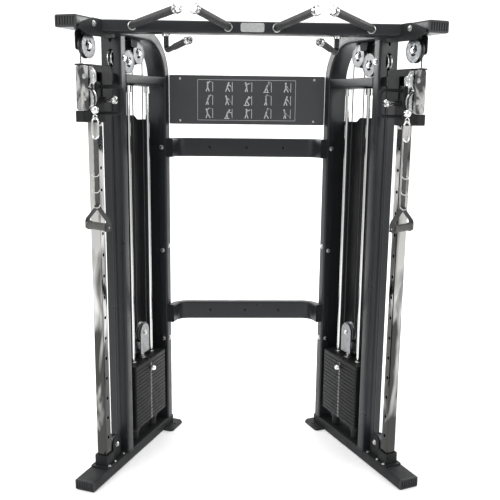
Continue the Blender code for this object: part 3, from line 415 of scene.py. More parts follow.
def piece(name, material, shapes, body="frame", matrix=WORLD, replaces=(), slot=None, ease=0.0,
        keep_sharp=38, ride=True):
    """One object from shapes; ease rounds its edges so that they catch the light."""
    shapes = shapes if isinstance(shapes, list) else [shapes]
    mesh = mesh_of(name, placed(gathered(shapes), matrix))
    mesh.shade_smooth()
    mesh.set_sharp_from_angle(angle=radians(keep_sharp))
    mesh.materials.append(material)
    made = bpy.data.objects.new(name, mesh)
    bpy.context.scene.collection.objects.link(made)
    if ease:
        rounding = made.modifiers.new("eased_edges", "BEVEL")
        rounding.width = ease
        rounding.segments = 2
        rounding.limit_method = "ANGLE"
        rounding.angle_limit = radians(40)
        rounding.harden_normals = True
    if ride:
        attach(made, body)
    if replaces:
        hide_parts(*replaces)
    return made


def cheeks(outline, plane=SIDE_PLANE, reach=PLATE_OUT):
    """Two equal plates, one on each side of a pulley."""
    return [flat([outline], -reach, -PLATE_IN, plane), flat([outline], PLATE_IN, reach, plane)]


def hexagon(centre, way, size=0.01, height=0.007, washer_r=0.0125):
    """Hexagon bolt head on a washer, standing on centre and looking along way."""
    way = Vector(way).normalized()
    head = turned([(0, 0.0016), (size, 0.0016), (size, height - 0.001), (size - 0.0012, height),
        (0, height)], centre, way, 6)
    ring = turned([(0, 0), (washer_r, 0), (washer_r, 0.0012), (washer_r - 0.0004, 0.0016),
        (0, 0.0016)], centre, way, 24)
    return [head, ring]


def button(centre, way, radius=0.0095, height=0.0055):
    """Domed button head with a hexagon socket."""
    profile = [(0, height - 0.0025), (0.003, height - 0.0025), (0.0032, height)]
    profile += [(radius * sin(a), height * cos(a) ** 0.7) for a in (0.5, 0.8, 1.1, 1.4)]
    profile += [(radius, 0), (0, 0)]
    return [turned(profile, centre, Vector(way).normalized(), 24)]


def capsule(u0, v0, u1, v1, radius, steps=5):
    """Outline of a stroke with round ends."""
    lean = degrees(atan2(v1 - v0, u1 - u0))
    return [*arc(u1, v1, radius, lean - 90, lean + 90, steps), *arc(u0, v0, radius, lean + 90,
        lean + 270, steps)]


def ribbon(path, thick):
    """Outline of a strip that follows an open path, thick across."""
    left, right = [], []
    for i, (u, v) in enumerate(path):
        before, after = path[max(i - 1, 0)], path[min(i + 1, len(path) - 1)]
        along = Vector((after[0] - before[0], after[1] - before[1])).normalized()
        left.append((u - along.y * thick / 2, v + along.x * thick / 2))
        right.append((u + along.y * thick / 2, v - along.x * thick / 2))
    return left + right[::-1]


def eased(points, reach=0.03, steps=10):
    """Points with each corner rounded by a quadratic curve."""
    points = [Vector(p) for p in points]
    path = [points[0]]
    for before, corner, after in zip(points, points[1:], points[2:]):
        start = corner + (before - corner) * min(0.5, reach / (before - corner).length)
        end = corner + (after - corner) * min(0.5, reach / (after - corner).length)
        for i in range(steps + 1):
            t = i / steps
            path.append(start * (1 - t) ** 2 + corner * 2 * t * (1 - t) + end * t * t)
    return [*path, points[-1]]


def weld(outline, z):
    """Bead round a tube where it meets another."""
    return wire([(u, v, z) for u, v in outline], 0.0032, closed=True, detail=2)


def eyelet(pin_z):
    """Steel lining of the pin hole in a weight plate's edge."""
    bore = PIN_R + 0.001
    return turned([(bore, -0.004), (0.0068, -0.004), (0.0068, 0.0004), (0.0063, 0.0009),
        (bore, 0.0009)], (PLATE_HALF_W, STACK_Y, pin_z), (1, 0, 0), 20)


def ribbed_cap(low, high, y):
    """Moulded plastic cap on a tube's front end, with a raised flange and upright ribs."""
    half, inset, face = TUBE_W / 2 - GAP, GAP, 0.006 - y
    plate = flat([rounded(-half, half, low + inset, high - inset, CORNER - inset)], -y - 0.001,
        face, FRONT_PLANE)
    step, count = 0.0125, 7
    slots = []
    for i in range(count):
        u = (i - (count - 1) / 2) * step
        slots.append(flat([rounded(u - 0.0045, u + 0.0045, low + 0.008, high - 0.008, 0.002)],
            face - 0.0035, face + 0.002, FRONT_PLANE))
    return without(plate, *slots)


def wheel(radius, centre, axis):
    """Cable pulley: V groove between two flat discs with arc slots round a raised hub."""
    half, groove, hub = 0.0115, radius - 0.0085, 0.013
    side = [(0.0067, half + 0.0012), (hub - 0.0012, half + 0.0012), (hub, half),
        (hub + 0.0008, half - 0.0016), (radius - 0.005, half - 0.0016),
        (radius - 0.0042, half - 0.0004), (radius - 0.001, half - 0.0004), (radius, half - 0.0014),
        (radius, half - 0.003), (groove + 0.001, 0.0042), (groove, 0.0028)]
    body = turned([(r, -h) for r, h in side] + side[::-1], (0, 0, 0), (0, 0, 1), 64)
    inner, outer = hub + 0.003, hub + 0.003 + (radius - 0.03) * 0.38
    openings = []
    for i in range(3):
        middle = 30 + 120 * i
        openings.append(
            flat([[*arc(0, 0, outer, middle - 42, middle + 42, 12), *arc(0, 0, inner, middle + 38,
            middle - 38, 10)]], -0.02, 0.02))
    body = without(body, *openings)
    turn = Vector(axis).to_track_quat("Z", "Y").to_matrix().to_4x4()
    body.transform(Matrix.Translation(centre) @ turn)
    return body


# ---------------------------------------------------------------- one tower
def tower(side):
    stance = TOWER[side]
    swivel = stance @ SWIVEL

    def add(name, material, shapes, node, body="frame", matrix=stance, ease=0.0, **more):
        body = body if body == "frame" else f"{side}_{body}"
        nodes = node if isinstance(node, tuple) else (node,)
        return piece(f"{side}_{name}", material, shapes, body, matrix,
            [f"{side}_{n}" for n in nodes], ease=ease, **more)

    # base and front upright
    start = Matrix.Translation((0, 0, TUBE_D / 2)) @ Matrix.Rotation(radians(90), 4, "X")
    add("base_tube", MATTE,
        walled(Sleeve(TUBE_W, TUBE_D, start).straight((0, BASE_LENGTH, 0)).done()), "base_frame")
    add("base_cap", PLASTIC, ribbed_cap(0, TUBE_D, 0), "base_frame", ease=0.0006)
    rear_cap = flat([rounded(-0.0495, 0.0495, 0.0005, TUBE_D - 0.0005, 0.0075)],
        -BASE_LENGTH - 0.0055, -BASE_LENGTH + 0.001, FRONT_PLANE)
    add("base_rear_cap", PLASTIC, rear_cap, "base_frame", ease=0.001)
    pulley_z = WINDOW_PULLEY[1]
    low_y, high_y = FRONT_UPRIGHT_Y - TUBE_D, FRONT_UPRIGHT_Y + TUBE_D
    start = Matrix.Translation((0, FRONT_UPRIGHT_Y, TUBE_D))
    upright = walled(Sleeve(TUBE_W, TUBE_D, start).straight(
        (0, 0, BOOM_Z - TUBE_D * 1.5 - GAP)).done())
    upright = without(upright,
        flat([rounded(-0.0145, 0.0145, pulley_z - 0.038, pulley_z + 0.038, 0.0142, 10)],
        -FRONT_UPRIGHT_Y, -low_y, FRONT_PLANE),
        flat([rounded(-0.0145, 0.0145, pulley_z - 0.047, pulley_z + 0.047, 0.0142, 10)], -high_y,
        -FRONT_UPRIGHT_Y, FRONT_PLANE), flat([rounded(-0.0055, 0.0055, 1.994, 2.019, 0.0053)],
        -high_y, -low_y, FRONT_PLANE))
    add("front_upright", POWDER, upright, "base_frame", ease=0.0007)
    front_foot, rear_foot = (rounded(-TUBE_W / 2, TUBE_W / 2, y - TUBE_D / 2, y + TUBE_D / 2,
        CORNER) for y in (FRONT_UPRIGHT_Y, REAR_UPRIGHT_Y))
    inner, outer, front, rear, chamfer = TUBE_W / 2 - 0.001, 0.1, 0.69, 0.837, 0.028
    notch = BASE_LENGTH + 0.0066
    outline = [(inner, front), (outer - 0.012, front), *arc(outer - 0.01, front + 0.014, 0.01, -60,
        0, 4), *arc(outer - 0.012, rear - chamfer, 0.012, 0, 45, 3),
        *arc(outer - chamfer, rear - 0.012, 0.012, 45, 90, 3), *arc(chamfer - outer, rear - 0.012,
        0.012, 90, 135, 3), *arc(0.012 - outer, rear - chamfer, 0.012, 135, 180, 3),
        *arc(0.01 - outer, front + 0.014, 0.01, 180, 240, 4), (0.012 - outer, front),
        (-inner, front), (-inner, notch), (inner, notch)]
    add("foot_plate", MATTE, flat([outline, *(circle(x, 0.77, 0.006) for x in (-0.076, 0.076))],
        0.0002, 0.008), "base_frame", ease=0.001)
    bead = 0.0008
    add("frame_welds", POWDER, [weld(front_foot, TUBE_D + bead), weld(rear_foot, TUBE_D + bead),
        weld(front_foot, BOOM_Z - TUBE_D / 2 - bead)], ("base_frame", "arch_frame"))
    half = COLUMN_SIDE / 2 + GAP
    hole = [(-half, COLUMN_Y - half), (half, COLUMN_Y - half), (half, COLUMN_Y + half),
        (-half, COLUMN_Y + half)]
    flange = rounded(-0.046, 0.046, COLUMN_Y - 0.05, COLUMN_Y + 0.04, 0.008)
    collar = rounded(-0.033, 0.033, COLUMN_Y - 0.033, COLUMN_Y + 0.033, 0.006)
    add("column_shoe", MATTE, [flat([flange, hole], TUBE_D, 0.0563),
        flat([collar, hole], 0.056, 0.1055)], "base_frame", ease=0.0012)
    low_y, low_z = LOW_PULLEY
    foot = [(low_y - 0.034, TUBE_D), (low_y + 0.034, TUBE_D), *arc(low_y, low_z + 0.01, 0.034, 0,
        180, 20)]
    add("low_bracket", MATTE, cheeks(foot), "base_frame", ease=0.0009)
    column_rear = COLUMN_Y + COLUMN_SIDE / 2 + GAP
    add("column_straps", POWDER,
        [box(way * 0.02 - 0.004, way * 0.02 + 0.004, column_rear,
        FRONT_UPRIGHT_Y - TUBE_D / 2 + 0.001, RAIL_LOW, RAIL_HIGH) for way in (-1, 1)],
        "base_frame", ease=0.0012)
    bolts = []
    for way in (-1, 1):
        bolts += hexagon((way * PLATE_OUT, *LOW_PULLEY), (way, 0, 0))
        bolts += hexagon((way * TUBE_W / 2, *WINDOW_PULLEY), (way, 0, 0), 0.0095)
    for x, y, floor in ((0.03, 0.29, TUBE_D), (-0.03, 0.29, TUBE_D), (0.039, 0.145, 0.0563),
            (0.039, 0.195, 0.0563)):
        bolts += hexagon((x, y, floor), UP, 0.0062, 0.006, 0.0078)
    bolts.append(rod((-PLATE_OUT, *LOW_PULLEY), (PLATE_OUT, *LOW_PULLEY), 0.006))
    bolts.append(rod((-0.049, *WINDOW_PULLEY), (0.049, *WINDOW_PULLEY), 0.006))
    add("base_bolts", STEEL, bolts, "base_frame", slot="steel")

    # rear upright, bend and boom
    bend_z = BOOM_Z - ARCH_RADIUS
    start = Matrix.Translation((0, REAR_UPRIGHT_Y, TUBE_D + GAP))
    tube = Sleeve(TUBE_W, TUBE_D, start).straight((0, 0, bend_z - TUBE_D - GAP))
    tube.bend((0, REAR_UPRIGHT_Y - ARCH_RADIUS, bend_z), (1, 0, 0), radians(90), 20)
    tube.straight((0, BOOM_FRONT_Y - (REAR_UPRIGHT_Y - ARCH_RADIUS), 0))
    add("arch_tube", POWDER, walled(tube.done()), "arch_frame")
    add("boom_cap", PLASTIC, ribbed_cap(BOOM_Z - TUBE_D / 2, BOOM_Z + TUBE_D / 2, BOOM_FRONT_Y),
        "arch_frame", ease=0.0006)
    top_y, top_z = TOP_PULLEY
    under = BOOM_Z - TUBE_D / 2
    cover = rounded(top_y - 0.06, top_y + 0.06, top_z - 0.02, under, 0.014)
    lip = rounded(top_y - 0.06, top_y + 0.06, under - 0.018, under, 0.004)
    hanger = [(0.4, under), (0.4, 1.93), *arc(0.434, 1.912, 0.03, 180, 270, 8),
        *arc(0.575, 1.945, 0.035, 300, 360, 8), (0.61, under)]
    tab = [(0.47, 1.984), (0.52, 1.984), (0.53, under), (0.46, under)]
    add("pulley_brackets", MATTE, [flat([cover], -PLATE_OUT, -PLATE_IN, SIDE_PLANE),
        flat([lip], PLATE_IN, PLATE_OUT, SIDE_PLANE), flat([hanger], -PLATE_OUT, -PLATE_IN,
        SIDE_PLANE), flat([tab], PLATE_IN, PLATE_OUT, SIDE_PLANE)], "arch_frame", ease=0.0009)
    gusset = [(-0.02, 2.0213), (0.05, 1.998), (0.19, 1.998), (0.255, 2.004), (0.255, 2.07),
        (0.085, 2.07), (-0.02, 2.034)]
    face = TUBE_W / 2
    add("beam_flange", MATTE, flat([gusset], face, face + 0.006, SIDE_PLANE), "arch_frame",
        ease=0.0012)
    front, rear = FRONT_UPRIGHT_Y + TUBE_D / 2 + GAP, REAR_UPRIGHT_Y - TUBE_D / 2
    add("rails", POWDER, [box(x - 0.0125, x + 0.0125, front, rear, RAIL_LOW, RAIL_HIGH) for x in (
        -0.037, 0.037)], "arch_frame", ease=0.003)
    bolts = []
    for place in (TOP_PULLEY, TOWER_REAR, TOWER_FRONT):
        bolts.append(rod((-PLATE_OUT, *place), (PULLEY_W / 2 + 0.004, *place), 0.006))
        bolts += hexagon((PULLEY_W / 2 + 0.002, *place), (1, 0, 0), 0.0095, 0.007, 0.012)
        bolts += hexagon((-PLATE_OUT, *place), (-1, 0, 0), 0.0095)
    for way in (-1, 1):
        for z in (0.5, 1.000):
            bolts += hexagon((way * face, REAR_UPRIGHT_Y, z), (way, 0, 0), 0.0095)
    bolts += hexagon((face + 0.006, 0.088, BOOM_Z), (1, 0, 0), 0.01)
    bolts += [part for z in (0.5, 0.98, 1.512) for part in hexagon(
        (0.025, REAR_UPRIGHT_Y - TUBE_D / 2, z), (0, -1, 0), 0.0095)]
    add("arch_bolts", STEEL, bolts, "arch_frame", slot="steel")

    # chrome column
    start = Matrix.Translation((0, COLUMN_Y, TUBE_D + GAP))
    tube = walled(Sleeve(COLUMN_SIDE, COLUMN_SIDE, start, 0.005).straight(
        (0, 0, COLUMN_TOP - TUBE_D - GAP)).done())
    heights = [HOLE_TOP - i * HOLE_PITCH for i in range(HOLES)]
    add("chrome_column", COLUMN_CHROME,
        without(tube,
        *(rod((0.01, COLUMN_Y, z), (0.04, COLUMN_Y, z), HOLE_R, 24) for z in heights)),
        "chrome_column", ease=0.0005)
    add("column_cap", PLASTIC,
        flat([rounded(-0.0235, 0.0235, COLUMN_Y - 0.0235, COLUMN_Y + 0.0235, 0.005)],
        COLUMN_TOP - 0.001, COLUMN_TOP + 0.003), "chrome_column", ease=0.0012)
    add("column_plate", DARK,
        flat([rounded(COLUMN_Y - 0.017, COLUMN_Y + 0.017, 1.562, 1.63, 0.003)], COLUMN_SIDE / 2,
        COLUMN_SIDE / 2 + 0.0005, SIDE_PLANE), "chrome_column")

    # guide rods
    ends = (STACK_Y - ROD_OFFSET, STACK_Y + ROD_OFFSET)
    top = RAIL_LOW - GAP
    add("guide_rods", CHROME,
        [rod((0, y, TUBE_D + GAP), (0, y, top - 0.003), ROD_R, 32) for y in ends], "guide_rods")
    add("rod_collars", CHROME,
        [turned([(0.0102, top - 0.04), (0.0165, top - 0.04), (0.018, top - 0.0385),
        (0.018, top - 0.009), (0.0102, top - 0.009)], (0, y, 0), UP, 32) for y in ends],
        "guide_rods")
    add("rod_yoke", POWDER, flat([rounded(-0.048, 0.048, ends[0] - 0.02, ends[1] + 0.02, 0.01),
        *(circle(0, STACK_Y + way * CABLE_RUN_R, 0.009) for way in (-1, 1))], top - 0.008, top),
        "guide_rods", ease=0.001)
    add("rod_feet", MATTE,
        [turned([(0.0102, TUBE_D + GAP), (0.022, TUBE_D + GAP), (0.022, 0.092), (0.0205, 0.0945),
        (0.0102, 0.0945)], (0, y, 0), UP, 32) for y in ends], "guide_rods")
    bumper = [(0.0102, 0.0947), (0.0265, 0.0947), (0.028, 0.0965)]
    for i in range(3):
        z = 0.102 + i * 0.008
        bumper += [(0.028, z - 0.001), (0.0255, z + 0.0008), (0.0255, z + 0.0022),
            (0.028, z + 0.004)]
    bumper += [(0.0265, STACK_LOW - GAP), (0.0102, STACK_LOW - GAP)]
    add("rod_bumpers", RUBBER, [turned(bumper, (0, y, 0), UP, 32) for y in ends], "guide_rods")

    # shroud
    low, high, drop = 0.062, 1.672, 0.02
    plan = [(-0.02, 0.3635), *arc(-0.0525, 0.367, 0.0035, 270, 180, 4), (-0.056, 0.47),
        (-0.062, 0.482), (-0.062, 0.6), (-0.056, 0.612), (-0.056, 0.619), (-0.056, 0.626),
        (-0.056, 0.633), (-0.056, 0.64), (-0.056, 0.647), (-0.056, 0.654),
        *arc(-0.0525, 0.741, 0.0035, 180, 90, 4), (0.013, 0.7445)]
    sheet = bmesh.new()
    columns = []
    for x, y in plan:
        slope = min(max((y - 0.612) / 0.042, 0.0), 1.0)
        height = high - drop * slope * slope * (3 - 2 * slope)
        columns.append((sheet.verts.new((x, y, low)), sheet.verts.new((x, y, height))))
    for (low_a, high_a), (low_b, high_b) in zip(columns, columns[1:]):
        sheet.faces.new((low_a, low_b, high_b, high_a))
    add("side_shroud", SHEET, walled(sheet, 0.0015), "side_shroud", keep_sharp=24)

    # weight stack
    def plate(low, thick, holes, pin_z=None):
        def layer(inset, z0, z1):
            return flat([rounded(inset - PLATE_HALF_W, PLATE_HALF_W - inset,
                STACK_Y - PLATE_HALF_L + inset, STACK_Y + PLATE_HALF_L - inset, 0.007), *holes],
                z0, z1)

        ledge = low + thick - 0.0034
        slab = layer(0, low, ledge)
        if pin_z is not None:
            slab = without(slab, rod((0.016, STACK_Y, pin_z), (0.06, STACK_Y, pin_z),
                PIN_R + 0.001))
        return [slab, layer(0.0028, ledge, low + thick)]

    rod_holes = [circle(0, y, 0.0135) for y in ends]
    middle_hole = circle(0, STACK_Y, 0.0135)
    eyelets = []
    for i in range(RESTING):
        low = STACK_LOW + i * PLATE_PITCH
        pin_z = low + PLATE_T / 2
        add(f"plate_{i + 1:02d}", CAST, plate(low, PLATE_T, [*rod_holes, middle_hole], pin_z),
            "resting_plates", ease=0.001)
        eyelets.append(eyelet(pin_z))
    add("plate_eyelets", STEEL, eyelets, "resting_plates", slot="steel")
    stack = {"node": "lifted_stack", "body": "stack"}
    for i in (RESTING, RESTING + 1):
        low = STACK_LOW + i * PLATE_PITCH
        add(f"plate_{i + 1:02d}", CAST, plate(low, PLATE_T, rod_holes, low + PLATE_T / 2),
            ease=0.001, **stack)
    add("head_plate", CAST, plate(HEAD_LOW, HEAD_T, rod_holes), ease=0.0012, **stack)
    add("selector_rod", CHROME,
        without(rod((0, STACK_Y, STACK_LOW + 0.004), (0, STACK_Y, HEAD_TOP + 0.028), SELECTOR_R,
        32, 0.002), rod((0.002, STACK_Y, PIN_Z), (0.06, STACK_Y, PIN_Z), PIN_R + 0.001)), **stack)
    y, z = FLOATING
    fork = [(y - 0.044, HEAD_TOP + 0.027), (y + 0.044, HEAD_TOP + 0.027),
        *arc(y, z + 0.004, 0.044, 0, 180, 24)]
    foot = box(-PLATE_OUT, PLATE_OUT, y - 0.021, y + 0.021, HEAD_TOP + 0.0265, HEAD_TOP + 0.0317)
    add("fork", DULL_STEEL, [*cheeks(fork), foot], slot="steel", ease=0.001, **stack)
    nuts = hexagon((0, y, HEAD_TOP), UP, 0.0175, 0.011, 0.02)
    nuts += hexagon((0, y, HEAD_TOP + 0.0317), UP, 0.011, 0.008, 0.014)
    for way in (-1, 1):
        nuts += hexagon((way * PLATE_OUT, y, z), (way, 0, 0), 0.0095)
        nuts.append(turned([(0.0102, HEAD_TOP - 0.004), (0.016, HEAD_TOP - 0.004),
            (0.016, HEAD_TOP + 0.0035), (0.0145, HEAD_TOP + 0.005), (0.0112, HEAD_TOP + 0.005)],
            (0, STACK_Y + way * ROD_OFFSET, 0), UP, 28))
    nuts.append(rod((-PLATE_OUT, y, z), (PLATE_OUT, y, z), 0.006))
    nuts += [eyelet(STACK_LOW + i * PLATE_PITCH + PLATE_T / 2) for i in (RESTING, RESTING + 1)]
    add("stack_fittings", STEEL, nuts, slot="steel", **stack)
    face = PLATE_HALF_W + 0.002
    knob = [(0.005, face), (0.0085, face), (0.009, face + 0.004), (0.013, face + 0.0065)]
    for i in range(4):
        knob += [(0.013, face + 0.0072 + i * 0.0017), (0.0124, face + 0.008 + i * 0.0017)]
    knob += [(0.013, face + 0.014), (0.0105, face + 0.019), (0.006, face + 0.02), (0, face + 0.02),
        (0, face)]
    add("selector_knob", CHROME, turned(knob, (0, STACK_Y, PIN_Z), (1, 0, 0), 32), "selector_pin",
        body="selector_pin")
    add("selector_shaft", STEEL, rod((-0.009, STACK_Y, PIN_Z), (face + 0.001, STACK_Y, PIN_Z),
        PIN_R, 20, 0.0015), "selector_pin", body="selector_pin")

    # pulleys
    for name, radius, place in (("floating_pulley", PULLEY_R, FLOATING),
            ("tower_pulley_front", PULLEY_R, TOWER_FRONT), ("tower_pulley_rear", PULLEY_R,
            TOWER_REAR), ("window_pulley", SMALL_R, WINDOW_PULLEY),
            ("top_pulley", PULLEY_R, TOP_PULLEY), ("low_pulley", SMALL_R, LOW_PULLEY)):
        # the window pulley takes the lit aluminium, a painted highlight
        metal = LIT_ALUMINIUM if name == "window_pulley" else ALUMINIUM
        add(f"{name}_wheel", metal, wheel(radius, (0, *place), (1, 0, 0)), name, body=name)
    # swivel wheels take the lit aluminium, a painted highlight on their rims
    for name, z in (("upper", UPPER_SWIVEL_Z), ("lower", LOWER_SWIVEL_Z)):
        add(f"swivel_wheel_{name}", LIT_ALUMINIUM, wheel(SWIVEL_R, (SWIVEL_RUN_R, 0, z),
            (0, 1, 0)), f"swivel_pulley_{name}", body=f"swivel_pulley_{name}", matrix=swivel)

    # trolley
    car = {"node": "trolley", "body": "trolley"}
    half, bore = SLEEVE_HALF, COLUMN_SIDE / 2 + 0.0015
    outside = rounded(-half, half, COLUMN_Y - half, COLUMN_Y + half, 0.007)
    inside = rounded(-bore, bore, COLUMN_Y - bore, COLUMN_Y + bore, 0.006)
    add("trolley_sleeve", MATTE, without(flat([outside, inside], SLEEVE_LOW, SLEEVE_HIGH),
        rod((0.02, COLUMN_Y, HOLE_TOP), (0.07, COLUMN_Y, HOLE_TOP), 0.007)), ease=0.0012, **car)
    liner_out = rounded(0.003 - half, half - 0.003, COLUMN_Y - half + 0.003,
        COLUMN_Y + half - 0.003, 0.006)
    liner_in = rounded(-bore + 0.0008, bore - 0.0008, COLUMN_Y - bore + 0.0008,
        COLUMN_Y + bore - 0.0008, 0.0055)
    add("trolley_liners", PLASTIC,
        [flat([liner_out, liner_in], SLEEVE_HIGH - 0.001, SLEEVE_HIGH + 0.003),
        flat([liner_out, liner_in], SLEEVE_LOW - 0.002, SLEEVE_LOW + 0.001)], ease=0.0008, **car)
    front = COLUMN_Y - half
    ear = [(-0.026, front), (-0.026, SWIVEL_Y), *arc(0, SWIVEL_Y, 0.026, 180, 360, 20)[1:-1],
        (0.026, SWIVEL_Y), (0.026, SWIVEL_Y + 0.01), (half + 0.002, SWIVEL_Y + 0.03),
        (half + 0.002, front)]
    add("trolley_ear", MATTE, flat([ear, circle(0, SWIVEL_Y, 0.0098)], EAR_Z - 0.0055, EAR_Z),
        ease=0.001, **car)
    seven = [*arc(0.095, EAR_Z - 0.02, 0.01, 180, 270, 5), (0.162, EAR_Z - 0.03),
        *arc(0.162, EAR_Z - 0.038, 0.008, 90, 0, 4), *arc(0.182, 1.757, 0.012, 180, 270, 5),
        *arc(0.24, 1.757, 0.012, 270, 360, 5), *arc(0.226, EAR_Z - 0.0264, 0.026, 0, 90, 10),
        (0.085, EAR_Z - 0.0004)]
    add("trolley_plate", MATTE, flat([seven], half, half + 0.006, SIDE_PLANE), ease=0.0012, **car)
    bar_y, top, low, reach, bend = 0.153, 1.795, 1.684, 0.146, 0.026
    loop = [(half - 0.004, top), *arc(reach - bend, top - bend, bend, 90, 0, 12),
        *arc(reach - bend, low + bend, bend, 0, -90, 12), (half - 0.004, low)]
    add("trolley_handle", MATTE, wire([(x, bar_y, z) for x, z in loop], 0.008, detail=6), **car)
    add("trolley_welds", MATTE, [wire([(half + 0.0006, v, w) for v, w in circle(bar_y, z, 0.009)],
        0.0028, closed=True, detail=2) for z in (top, low)], **car)
    add("pin_barrel", MATTE,
        turned([(0.007, half - 0.002), (0.015, half - 0.002), (0.015, half + 0.004),
        (0.0125, half + 0.006), (0.0125, 0.0585), (0.0115, 0.06), (0.007, 0.06)],
        (0, COLUMN_Y, HOLE_TOP), (1, 0, 0), 32), **car)
    add("trolley_block", MATTE, box(-0.02, 0.02, SWIVEL_Y - 0.022, front + 0.001,
        SLEEVE_LOW + 0.0005, 1.695), ease=0.004, **car)
    add("cable_lug", MATTE, box(-0.01, 0.01, COLUMN_Y + half - 0.001, COLUMN_Y + half + 0.02,
        SLEEVE_LOW + 0.001, SLEEVE_LOW + 0.034), ease=0.0025, **car)
    fittings = hexagon((0.01, COLUMN_Y + half + 0.011, SLEEVE_LOW + 0.018), (1, 0, 0), 0.0065,
        0.0055, 0.008)
    add("trolley_bolts", STEEL, fittings, slot="steel", **car)
    add("pop_pin_knob", CHROME,
        turned([(0, COLUMN_SIDE / 2 + 0.0008), (0.0052, COLUMN_SIDE / 2 + 0.0008),
        (0.006, COLUMN_SIDE / 2 + 0.0016), (0.006, 0.0725), (0.0088, 0.0735), (0.009, 0.084),
        (0.0118, 0.087), (0.015, 0.0895), (0.017, 0.0935), (0.0175, 0.098), (0.0168, 0.103),
        (0.0145, 0.107), (0.01, 0.1093), (0.005, 0.1099), (0, 0.11)], (0, COLUMN_Y, HOLE_TOP),
        (1, 0, 0), 40), "pop_pin", body="pop_pin")

    # swivel
    arm = {"node": "swivel_frame", "body": "swivel", "matrix": swivel}
    low, high = 1.6958, EAR_Z - 0.0063
    cheek = rounded(-0.014, 0.058, low, high, 0.014, 8)
    out = PLATE_OUT - 0.001
    add("swivel_cheeks", CHEEK_STEEL, cheeks(cheek, FRONT_PLANE, out), ease=0.0008, **arm)
    bridge = rounded(-0.013, 0.012, -PLATE_IN - 0.001, PLATE_IN + 0.001, 0.003)
    hollow = circle(0, 0, 0.0045)
    add("swivel_bridges", POWDER, [flat([bridge], low + 0.0004, low + 0.005),
        flat([bridge, hollow], high - 0.005, high - 0.0004)], ease=0.0008, **arm)
    add("swivel_trunnion", STEEL,
        turned([(0.0045, high - 0.002), (0.0092, high - 0.002), (0.0092, EAR_Z + 0.002),
        (0.0084, EAR_Z + 0.003), (0.0045, EAR_Z + 0.003)], (0, 0, 0), UP, 28), slot="steel", **arm)
    nuts = []
    for z in (UPPER_SWIVEL_Z, LOWER_SWIVEL_Z):
        nuts.append(rod((SWIVEL_RUN_R, -out, z), (SWIVEL_RUN_R, out, z), 0.006))
        for way in (-1, 1):
            nuts += hexagon((SWIVEL_RUN_R, way * out, z), (0, way, 0), 0.0085, 0.0058, 0.011)
    add("swivel_bolts", STEEL, nuts, slot="steel", **arm)
    cross = degrees(asin(2 * SWIVEL_RUN_R / (UPPER_SWIVEL_Z - LOWER_SWIVEL_Z)))
    bend_path = [*arc(SWIVEL_RUN_R, UPPER_SWIVEL_Z, SWIVEL_RUN_R, 180, 180 + cross, 10),
        *arc(SWIVEL_RUN_R, LOWER_SWIVEL_Z, SWIVEL_RUN_R, cross, 0, 10)]
    add("swivel_cable", CABLE, wire([(u, 0, z) for u, z in bend_path], CABLE_R), "handle_cable",
        body="swivel", matrix=swivel)

    # cables
    add("pulley_cable_upper", CABLE,
        wire([(0, STACK_Y + CABLE_RUN_R, TOWER_FRONT[1]),
        *[(0, *p) for p in arc(*TOWER_REAR, CABLE_RUN_R, 0, 90, 14)],
        *[(0, *p) for p in arc(*TOP_PULLEY, CABLE_RUN_R, 90, 180, 14)]], CABLE_R),
        "pulley_cable_upper")
    add("pulley_cable_lower", CABLE,
        wire([*[(0, *p) for p in arc(*TOWER_FRONT, CABLE_RUN_R, 0, 90, 14)],
        *[(0, *p) for p in arc(*WINDOW_PULLEY, SMALL_RUN_R, 90, 180, 14)],
        *[(0, *p) for p in arc(*LOW_PULLEY, SMALL_RUN_R, 360, 180, 24)]], CABLE_R),
        "pulley_cable_lower")
    add("stack_cable_loop", CABLE,
        wire([(0, *p) for p in arc(*FLOATING, CABLE_RUN_R, 180, 360, 24)], CABLE_R), "stack_cable",
        body="stack")

    def run(name, node, y, low, high, low_body, high_body, matrix=stance, x=0.0):
        """Straight cable from low to high, baked in place on no body."""
        low_body, high_body = (b if b == "frame" else f"{side}_{b}" for b in (low_body, high_body))
        path = [(x, y, low + (high - low) * i / 12) for i in range(13)]
        cable = piece(f"{side}_{name}", CABLE, wire(path, CABLE_R), None, matrix,
            [f"{side}_{node}"], ride=False)
        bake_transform(cable)

    for way, name in ((-1, "front"), (1, "rear")):
        run(f"stack_cable_{name}", "stack_cable", STACK_Y + way * CABLE_RUN_R, FLOATING[1],
            TOWER_FRONT[1], "stack", "frame")
    slack = [(0.02, STACK_Y - 0.016, HEAD_TOP + 0.016), (0.04, STACK_Y - 0.026, HEAD_TOP + 0.02),
        (PLATE_HALF_W + 0.01, STACK_Y - 0.026, HEAD_TOP - 0.002),
        (PLATE_HALF_W + 0.014, STACK_Y - 0.008, PIN_Z + 0.026),
        (face + 0.006, STACK_Y, PIN_Z + 0.0105)]
    lanyard = piece(f"{side}_selector_lanyard", RUBBER, wire(eased(slack, 0.02, 6), 0.0022), None,
        stance, [f"{side}_selector_pin"], ride=False)
    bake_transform(lanyard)
    run("trolley_cable_up", "trolley_cable_upper", SWIVEL_Y, UPPER_SWIVEL_Z, TOP_PULLEY[1],
        "trolley", "frame")
    run("trolley_cable_down", "trolley_cable_lower", LOW_PULLEY[0] - SMALL_RUN_R, LOW_PULLEY[1],
        SLEEVE_LOW + 0.0015, "frame", "trolley")
    run("handle_cable_run", "handle_cable", 0, BALL_Z + BALL_R - 0.002, LOWER_SWIVEL_Z,
        "cable_end", "swivel", swivel, HANG_X)

